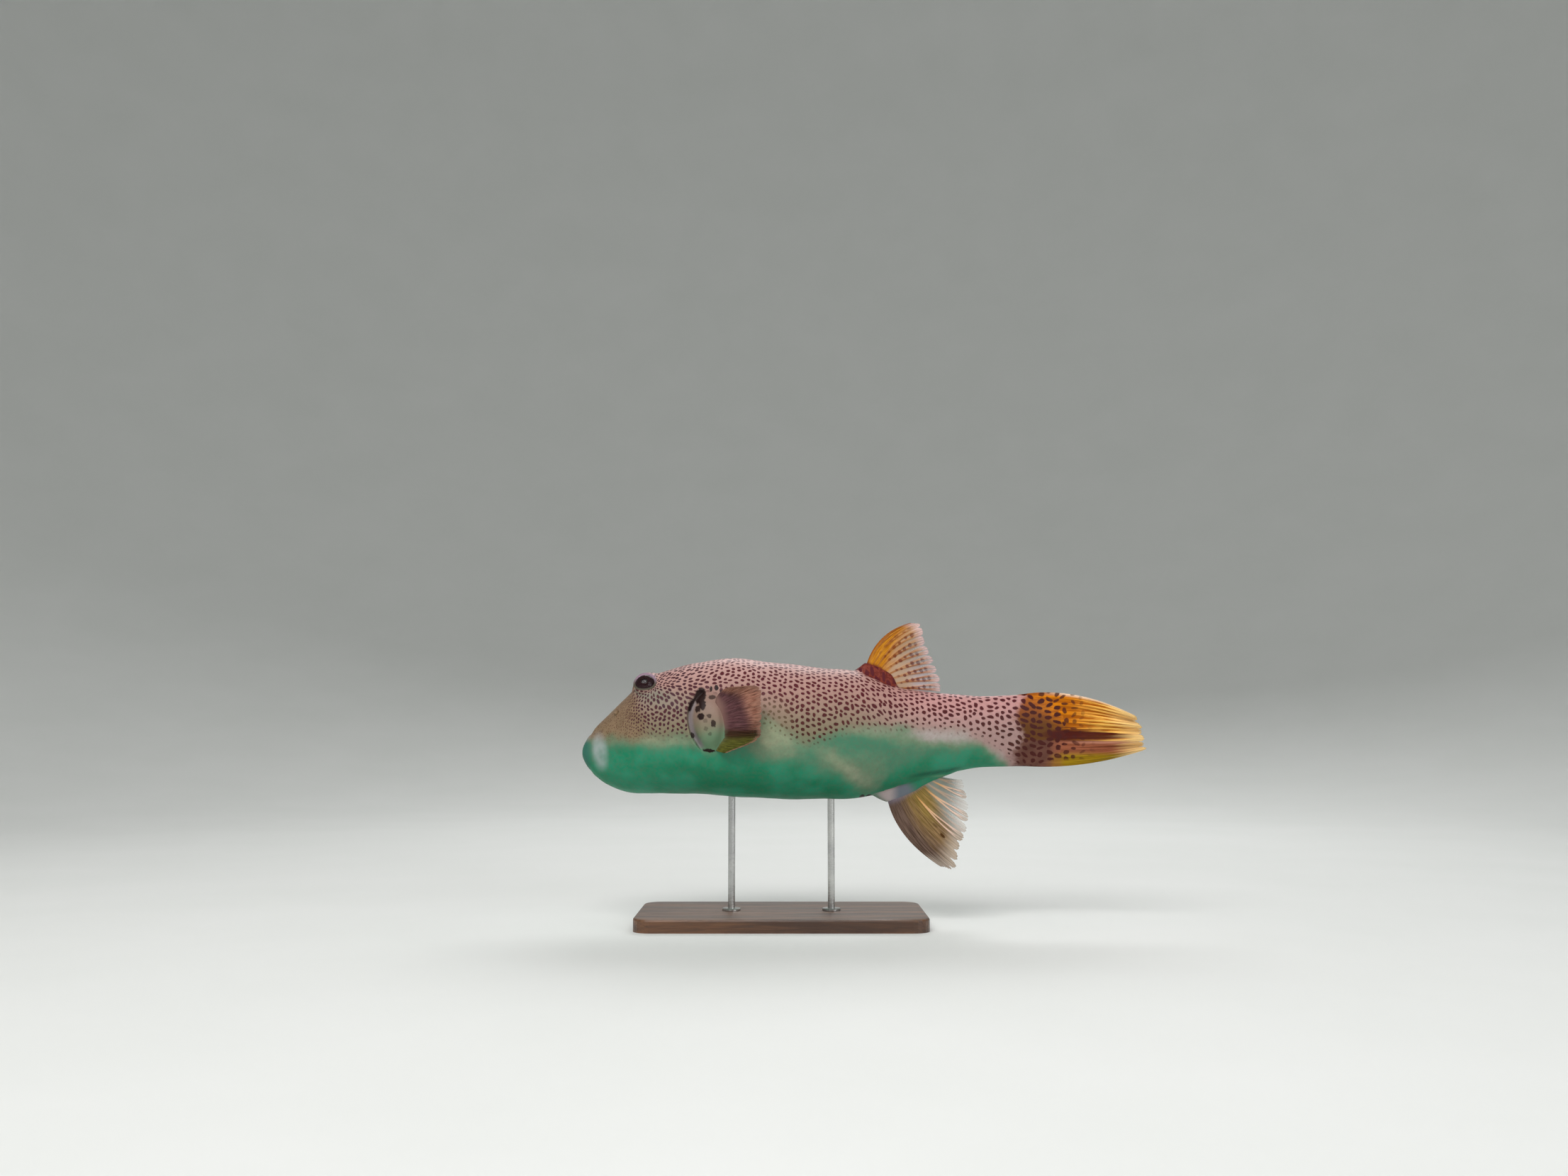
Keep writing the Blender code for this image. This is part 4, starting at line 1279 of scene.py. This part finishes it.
ray_spot_group, net, given = new_group(
    "spots on the rays", {"Place": None, "Rays": 11.0, "Rows": 9.0, "Size": 1.0}, "Mask"
)
across, along, _ = net.split(given["Place"])
x = across * given["Rays"]
ray = net.maths("FLOOR", x)
y = along * given["Rows"] + net.add("TexWhiteNoise", {"W": ray}, noise_dimensions="1D")["Value"] * 3.0
row = net.maths("FLOOR", y)
chances = net.add("TexWhiteNoise", {"Vector": net.join(ray, row)})["Color"]
x_chance, y_chance, size_chance = net.split(chances, "SeparateColor")
off_x = x - ray - net.step(x_chance, 0, 1, 0.40, 0.60)
off_y = y - row - net.step(y_chance, 0, 1, 0.42, 0.58)
size = given["Size"] * net.step(size_chance, 0, 1, 0.72, 1.1)
edge = vary(net.distance(off_x / 0.27, off_y / 0.34) / size, net.noise(given["Place"], 40.0, 2.0), 0.7)
net.end(Mask=net.step(edge, 1.25, 0.70))
print("groups:", streak_group.name, "and", ray_spot_group.name)


# %% What all fin materials share
def fin_material(name, rays):
    """The material, its net, and the fin's ray, along, across, fine streaks and broad streaks."""
    made, net = new_material(name, Specular_IOR_Level=0.1, Coat_Weight=0.03, Coat_Roughness=0.25)
    streaks = net.group(streak_group, Place=net.uv("FinMap"), Rays=float(rays))
    ray, along, across = (net.attribute(zone) for zone in ("ray", "along", "across"))
    height = (ray + streaks["Fine"] * 0.9) * net.step(along, 0.15, 0.6)
    net.end(Normal=net.bump(height, 0.0007, 0.8), Roughness=net.step(streaks["Fine"], 0.2, 0.8, 0.34, 0.56))
    return made, net, ray, along, across, streaks["Fine"], streaks["Broad"]


def finish_fin(net, colour, ray, along, across, least, first=0.0, start=0.35):
    """Colours a fin and lets light through between its rays, more so at the edge and at the back."""
    share = net.step(along, start, 1.0) * net.step(across, first, first + 0.3)
    clear = share * (1.0 - ray * 0.75) * (1.0 - least)
    net.end(Base_Color=colour, Alpha=1.0 - clear)
    print("fin material:", len(net.tree.nodes), "nodes")


# %% The dorsal fin's material
dorsal_material, net, ray, along, across, fine, broad = fin_material("dorsal fin", 9)
reach = vary(across + along * 0.55, broad, 0.3)
amber = net.ramp(fine, 0.3, 0.7, (0.66, 0.39, 0.04), (0.82, 0.56, 0.14))
beige = net.mix(ray, (0.72, 0.61, 0.51), (0.76, 0.58, 0.42))
pale = net.mix(ray, (0.74, 0.69, 0.70), (0.84, 0.66, 0.58))
stain = net.step(ray, 0.2, 0.8) * net.step(along, 1.0, 0.65) * net.step(broad, 0.30, 0.55) * 0.8
dots = net.group(
    ray_spot_group, Place=net.uv("FinMap"), Rays=9.0, Rows=9.5, Size=net.step(along, 0.1, 0.5, 0.70, 0.92)
)["Mask"]
dots = dots * net.step(along, 0.12, 0.3) * net.step(along, 0.95, 0.78)
dots = dots * net.step(across, 0.04, 0.3, 0.2, 0.85)
colour = net.layers(
    amber,
    (net.step(reach, 0.42, 0.78), beige),
    (net.step(reach, 0.72, 1.25) * net.step(along, 0.25, 0.6), pale),
    (net.step(along, 0.80, 1.0, 0.0, 0.8), (0.90, 0.78, 0.78)),
    (stain, (0.60, 0.37, 0.19)),
    (dots, net.ramp(reach, 0.5, 1.0, (0.50, 0.24, 0.08), (0.44, 0.22, 0.20))),
    (net.step(across, 0.05, 0.01, 0.0, 0.8), (0.56, 0.28, 0.05)),
    (net.step(vary(along, broad, 0.06), 0.10, 0.04), (0.42, 0.17, 0.12)),
)
finish_fin(net, colour, ray, along, across, least=0.1, first=0.2)

# %% The anal fin's material
anal_material, net, ray, along, across, fine, broad = fin_material("anal fin", 11)
dusky = net.step(fine, 0.3, 0.7)
mauve = net.mix(dusky, (0.32, 0.24, 0.20), (0.48, 0.39, 0.34))
brown = net.mix(dusky, (0.42, 0.32, 0.19), (0.60, 0.48, 0.33))
olive = net.mix(dusky, (0.47, 0.38, 0.16), (0.63, 0.52, 0.30))
clear = net.mix(ray, (0.56, 0.58, 0.54), (0.74, 0.64, 0.56))
where = vary(across, broad, 0.3)
# every second ray behind the middle is pale and bright
number = net.maths("FLOOR", across * 11.0)
chosen = net.step(net.maths("MODULO", number, 2.0), 0.2, 0.8, 0.15, 1.0)
bright = (
    net.step(ray, 0.35, 0.9) * chosen * net.step(across, 0.34, 0.50)
    * net.step(along, 0.08, 0.3) * net.step(along, 1.0, 0.85, 0.4, 1.0)
)
pale_ray = net.ramp(along, 0.1, 0.8, (0.93, 0.68, 0.38), (0.95, 0.82, 0.75))
colour = net.layers(
    mauve,
    (net.step(where, 0.16, 0.36), brown),
    (net.step(where, 0.30, 0.48) * net.step(along, 0.72, 0.40), olive),
    (net.step(where + along * 0.30, 0.66, 0.86), clear),
    (bright * 0.92, pale_ray),
    (net.step(along, 0.72, 1.0, 0.0, 0.75), (0.80, 0.74, 0.68)),
)
for middle, reach_along, strength in ((0.395, 0.745, 1.0), (0.425, 0.60, 0.5)):
    blotch = vary(net.distance((across - middle) / 0.015, (along - reach_along) / 0.040), fine, 0.4)
    colour = net.mix(net.step(blotch, 1.25, 0.75, 0.0, strength), colour, (0.30, 0.18, 0.06))
colour = net.mix(net.step(along, 0.13, 0.02) * 0.9, colour, (0.56, 0.52, 0.58))
finish_fin(net, colour, ray * chosen, along, across, least=0.10, first=0.38, start=0.2)

# %% The caudal fin's material
caudal_material, net, ray, along, across, fine, broad = fin_material("caudal fin", 9)
colour = net.group(tail_group, Place=net.object_place(), Fine=fine * 0.75 + ray * 0.25)["Color"]
edge = net.step(across, 0.06, 0.0) * net.step(along, 0.2, 0.5)
colour = net.mix(edge, colour, (0.97, 0.84, 0.72))
spots = net.group(
    spots_group, Place=net.uv("SpotMap"), Size=net.step(along, 0.2, 0.6, 1.2, 0.85), Turn=0.0, Stretch=1.8
)
near_root = net.step(vary(along, broad, 0.2), 0.68, 0.42) * net.step(across, 0.93, 0.86) * 0.88
colour = net.mix(spots["Mask"] * near_root, colour, (0.28, 0.11, 0.09))
finish_fin(net, colour, ray, along, across, least=0.6, first=-0.3, start=0.8)

# %% The pectoral fins' material
pectoral_material, net, ray, along, across, fine, broad = fin_material("pectoral fins", 13)
where = vary(across, broad, 0.12)
dusky = net.step(fine, 0.3, 0.7)
plum = net.mix(dusky, (0.27, 0.16, 0.17), (0.43, 0.29, 0.30))
rust = net.mix(dusky, (0.48, 0.29, 0.23), (0.74, 0.54, 0.46))
# Olive on the fin's lower part and a greener root below are painted shade.
olive = net.mix(dusky, (0.25, 0.25, 0.09), (0.40, 0.40, 0.17))
base = net.ramp(across, 0.45, 0.75, (0.50, 0.38, 0.35), (0.42, 0.46, 0.36))
colour = net.layers(
    plum,
    (net.step(along - where * 0.55, 0.28, 0.62), rust),
    (net.step(where, 0.56, 0.68), (0.23, 0.14, 0.09)),
    (net.step(where, 0.68, 0.84), olive),
    (net.step(along, 0.86, 1.0, 0.0, 0.7), (0.66, 0.49, 0.42)),
    (net.step(vary(along, fine, 0.2), 0.26, 0.02), base),
)
finish_fin(net, colour, ray, along, across, least=0.6, first=-0.3, start=0.6)

FIN_MATERIALS = {
    "dorsal_fin": dorsal_material, "anal_fin": anal_material, "caudal_fin": caudal_material,
    "pectoral_fin_left": pectoral_material, "pectoral_fin_right": pectoral_material,
}
for name, fin in fins.items():
    finish_piece(fin, FIN_MATERIALS[name], "fin_membrane", name)
print("fins:", ", ".join(fins))

# %% [markdown]
# ## Eyes
#
# The iris of this fish is so dark that only a thin bronze ring tells it from the pupil. The window
# over it gives the eye its wet glint. It could be glass that bends light, but then the lamps reach the
# iris only by chance paths and it turns grainy. So it is a dark film that is see-through by its Alpha:
# lamplight passes it straight, and the film on it still shines.

# %% The eyes' materials
RING_AT, PUPIL_EDGE = 5.3, (5.2, 4.4)  # mm off the gaze

iris_material, net = new_material("iris", Roughness=0.7, Specular_IOR_Level=0.05)
off = net.attribute("off_gaze")
flecks = net.noise(net.object_place(), 900.0, 4.0, 0.7)
colour = net.mix(flecks, (0.10, 0.04, 0.05), (0.22, 0.10, 0.11))
ring = net.step(abs(off - RING_AT), 0.6, 0.1) * net.step(flecks, 0.3, 0.6)
colour = net.mix(ring * 0.5, colour, (0.30, 0.17, 0.13))
net.end(Base_Color=net.mix(net.step(off, *PUPIL_EDGE), colour, (0.02, 0.015, 0.02)))

cornea_material, net = new_material("cornea", Alpha=0.35, IOR=1.6)
film = net.noise(net.object_place(), 60.0, 2.0)
net.end(
    Base_Color=net.mix(film, (0.10, 0.04, 0.07), (0.18, 0.08, 0.12)),
    Roughness=net.step(film, 0.2, 0.8, 0.05, 0.14),
)
for side_name, (ball, cornea) in eyes.items():
    finish_piece(ball, iris_material, "eye", "eye_" + side_name)
    finish_piece(cornea, cornea_material, "eye")
print("materials:", iris_material.name, "and", cornea_material.name)

# %% [markdown]
# ## Beak and stand
#
# These are hard parts, and the solid model already has their shapes, so they only need finishes:
# ivory for the beak's plates, oiled walnut for the base and brushed steel for the rods.

# %% Ivory, walnut and steel
def finish_node(material, *names):
    for name in names:
        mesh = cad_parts[name].data
        mesh.materials.clear()
        mesh.materials.append(material)


def stretched_noise(net, place, stretch, *settings):
    """Noise on a place that is scaled along each axis first."""
    return net.noise(net.vector("MULTIPLY", place, stretch), *settings)


beak_material, net = new_material("beak ivory", Coat_Weight=0.5, Coat_Roughness=0.12)
here = net.object_place()
stain = net.noise(here, 240.0, 4.0, 0.6)
lines = stretched_noise(net, here, (1.0, 14.0, 1.0), 90.0, 3.0)
colour = net.mix(stain, (0.93, 0.89, 0.78), (0.80, 0.70, 0.52))
net.end(
    Base_Color=net.mix(net.step(lines, 0.55, 0.75, 0.0, 0.35), colour, (0.66, 0.55, 0.40)),
    Roughness=net.step(stain, 0.2, 0.8, 0.22, 0.42),
    Normal=net.bump(lines, 0.0003, 0.5),
)
finish_node(beak_material, "beak_upper", "beak_lower")

wood_material, net = new_material("oiled walnut", Coat_Weight=0.25, Coat_Roughness=0.25)
here = net.object_place()
warp = net.noise(net.vector("MULTIPLY", here, (3.0, 14.0, 14.0)), 1.0, 3.0, output="Color")
bent = net.vector("ADD", net.vector("MULTIPLY", here, (1.2, 16.0, 16.0)), warp)
bands = stretched_noise(net, bent, (1.0, 2.2, 2.2), 1.6, 4.0, 0.6)
fibres = stretched_noise(net, here, (14.0, 520.0, 520.0), 1.0, 3.0, 0.6)
pores = stretched_noise(net, here, (60.0, 1400.0, 900.0), 1.0, 2.0)
colour = net.ramp(bands, 0.36, 0.64, (0.27, 0.17, 0.11), (0.46, 0.31, 0.20))
colour = net.mix(net.step(fibres, 0.35, 0.75, 0.0, 0.5), colour, (0.20, 0.12, 0.08))
net.end(
    Base_Color=net.mix(net.step(pores, 0.62, 0.72, 0.0, 0.6), colour, (0.12, 0.07, 0.05)),
    Roughness=net.step(fibres, 0.2, 0.8, 0.34, 0.52),
    Normal=net.bump(fibres - net.step(pores, 0.62, 0.72), 0.0003, 0.5),
)
finish_node(wood_material, "stand_base")

steel_material, net = new_material("brushed steel", Metallic=1.0)
here = net.object_place()
brushed = stretched_noise(net, here, (60.0, 60.0, 3200.0), 1.0, 2.0, 0.5)
smears = net.noise(here, 25.0, 2.0)
net.end(
    Base_Color=net.ramp(smears, 0.3, 0.7, (0.80, 0.80, 0.79), (0.70, 0.70, 0.70)),
    Roughness=net.step(brushed, 0.2, 0.8, 0.22, 0.32) + net.step(smears, 0.5, 0.8, 0.0, 0.08),
    Normal=net.bump(brushed, 0.00003, 0.4),
)
finish_node(steel_material, "stand_rod_front", "stand_rod_rear")
print("finished:", beak_material.name, wood_material.name, steel_material.name)


# %% [markdown]
# ## The studio floor
#
# A photographer's sweep has no corner: the floor bends up into the wall, so no line is seen behind the
# fish. Here it goes all the way round, because the fish is looked at from every side. It starts as a
# disc whose rim is extruded, widened and raised in small steps along a quarter of a circle.

# %% Make the floor and its rising rim
FLAT_RADIUS, SWEEP, WALL_TOP = 2.6, 5.0, 6.2  # m
SWEEP_STEPS = 18

paper, net = new_material("studio paper", Roughness=0.75)
here = net.object_place()
net.end(
    Base_Color=net.mix(net.noise(here, 3.0, 4.0), (0.90, 0.91, 0.90), (0.93, 0.935, 0.93)),
    Normal=net.bump(net.noise(here, 900.0, 2.0), 0.0001, 0.3),
)

floor = new_primitive(
    "studio_floor", bpy.ops.mesh.primitive_circle_add,
    vertices=128, radius=FLAT_RADIUS, fill_type="NGON",
)
bend = np.linspace(0, math.pi / 2, SWEEP_STEPS + 1)
profile = [(FLAT_RADIUS + SWEEP * math.sin(a), SWEEP * (1 - math.cos(a))) for a in bend]
profile.append((FLAT_RADIUS + SWEEP, WALL_TOP))
bpy.ops.object.mode_set(mode="EDIT")
bpy.ops.mesh.select_mode(type="EDGE")
bpy.ops.mesh.select_all(action="DESELECT")
bpy.ops.mesh.select_non_manifold()
for (radius, level), (next_radius, next_level) in zip(profile, profile[1:]):
    bpy.ops.mesh.extrude_region_move()
    bpy.ops.transform.resize(value=(next_radius / radius, next_radius / radius, 1))
    bpy.ops.transform.translate(value=(0, 0, next_level - level))
bpy.ops.object.mode_set(mode="OBJECT")
bpy.ops.object.shade_smooth()
floor.data.materials.append(paper)
print("the floor is", 2 * (FLAT_RADIUS + SWEEP), "m across")

# %% [markdown]
# ## Light
#
# In the sea the light comes down from a wide bright surface, so a fish is light on its back and in
# half shade below. A pale world stands for the light from all round, and three large lamps add the
# rest: a key from above the head, a weak fill from the tail's side and one from behind for the fins.

# %% Light the studio
world = bpy.data.worlds.new("studio")
world.use_nodes = True
sky = world.node_tree.nodes["Background"].inputs
sky["Color"].default_value = (0.90, 0.95, 0.97, 1)
sky["Strength"].default_value = 1.35
bpy.context.scene.world = world
bpy.context.scene.view_settings.view_transform = "Standard"


def area_light(name, at, aim, size, power, colour):
    data = bpy.data.lights.new(name, "AREA")
    data.shape = "RECTANGLE"
    data.size, data.size_y = size
    data.energy = power
    data.color = colour
    light = bpy.data.objects.new(name, data)
    light.location = at
    light.rotation_euler = (Vector(aim) - Vector(at)).to_track_quat("-Z", "Y").to_euler()
    bpy.context.scene.collection.objects.link(light)
    print(name, power, "W")


area_light("key light", (-0.9, -2.4, 3.0), (0.1, 0, 0.25), (2.6, 2.0), 95, (1, 0.98, 0.97))
area_light("fill light", (2.6, -2.4, 1.4), (0.1, 0, 0.25), (2.2, 2.2), 30, (0.97, 0.98, 1))
area_light("back light", (0.6, 2.6, 2.6), (0.1, 0, 0.3), (2.6, 1.4), 50, (1, 1, 1))

# %% [markdown]
# ## Camera
#
# The diver looks slightly up at the fish, from two metres off and level with it. A wide lens leaves
# the fish small in the frame, a little right of the middle and below it.

# %% Set up the camera
LENS, SENSOR = 32, 36  # mm
CAMERA_DISTANCE, TILT_UP = 1.99, 5.8  # m, degrees
CAMERA_X = 0.0036  # m, beside a place just ahead of the fish's middle

camera_data = bpy.data.cameras.new("camera")
camera_data.lens = LENS
camera_data.sensor_width = SENSOR
camera = bpy.data.objects.new("camera", camera_data)
bpy.context.scene.collection.objects.link(camera)
camera.location = (CAMERA_X, -CAMERA_DISTANCE, AXIS_Z)
camera.rotation_euler = (math.radians(90 + TILT_UP), 0, 0)
bpy.context.scene.camera = camera
print("camera at", [round(x, 3) for x in camera.location])
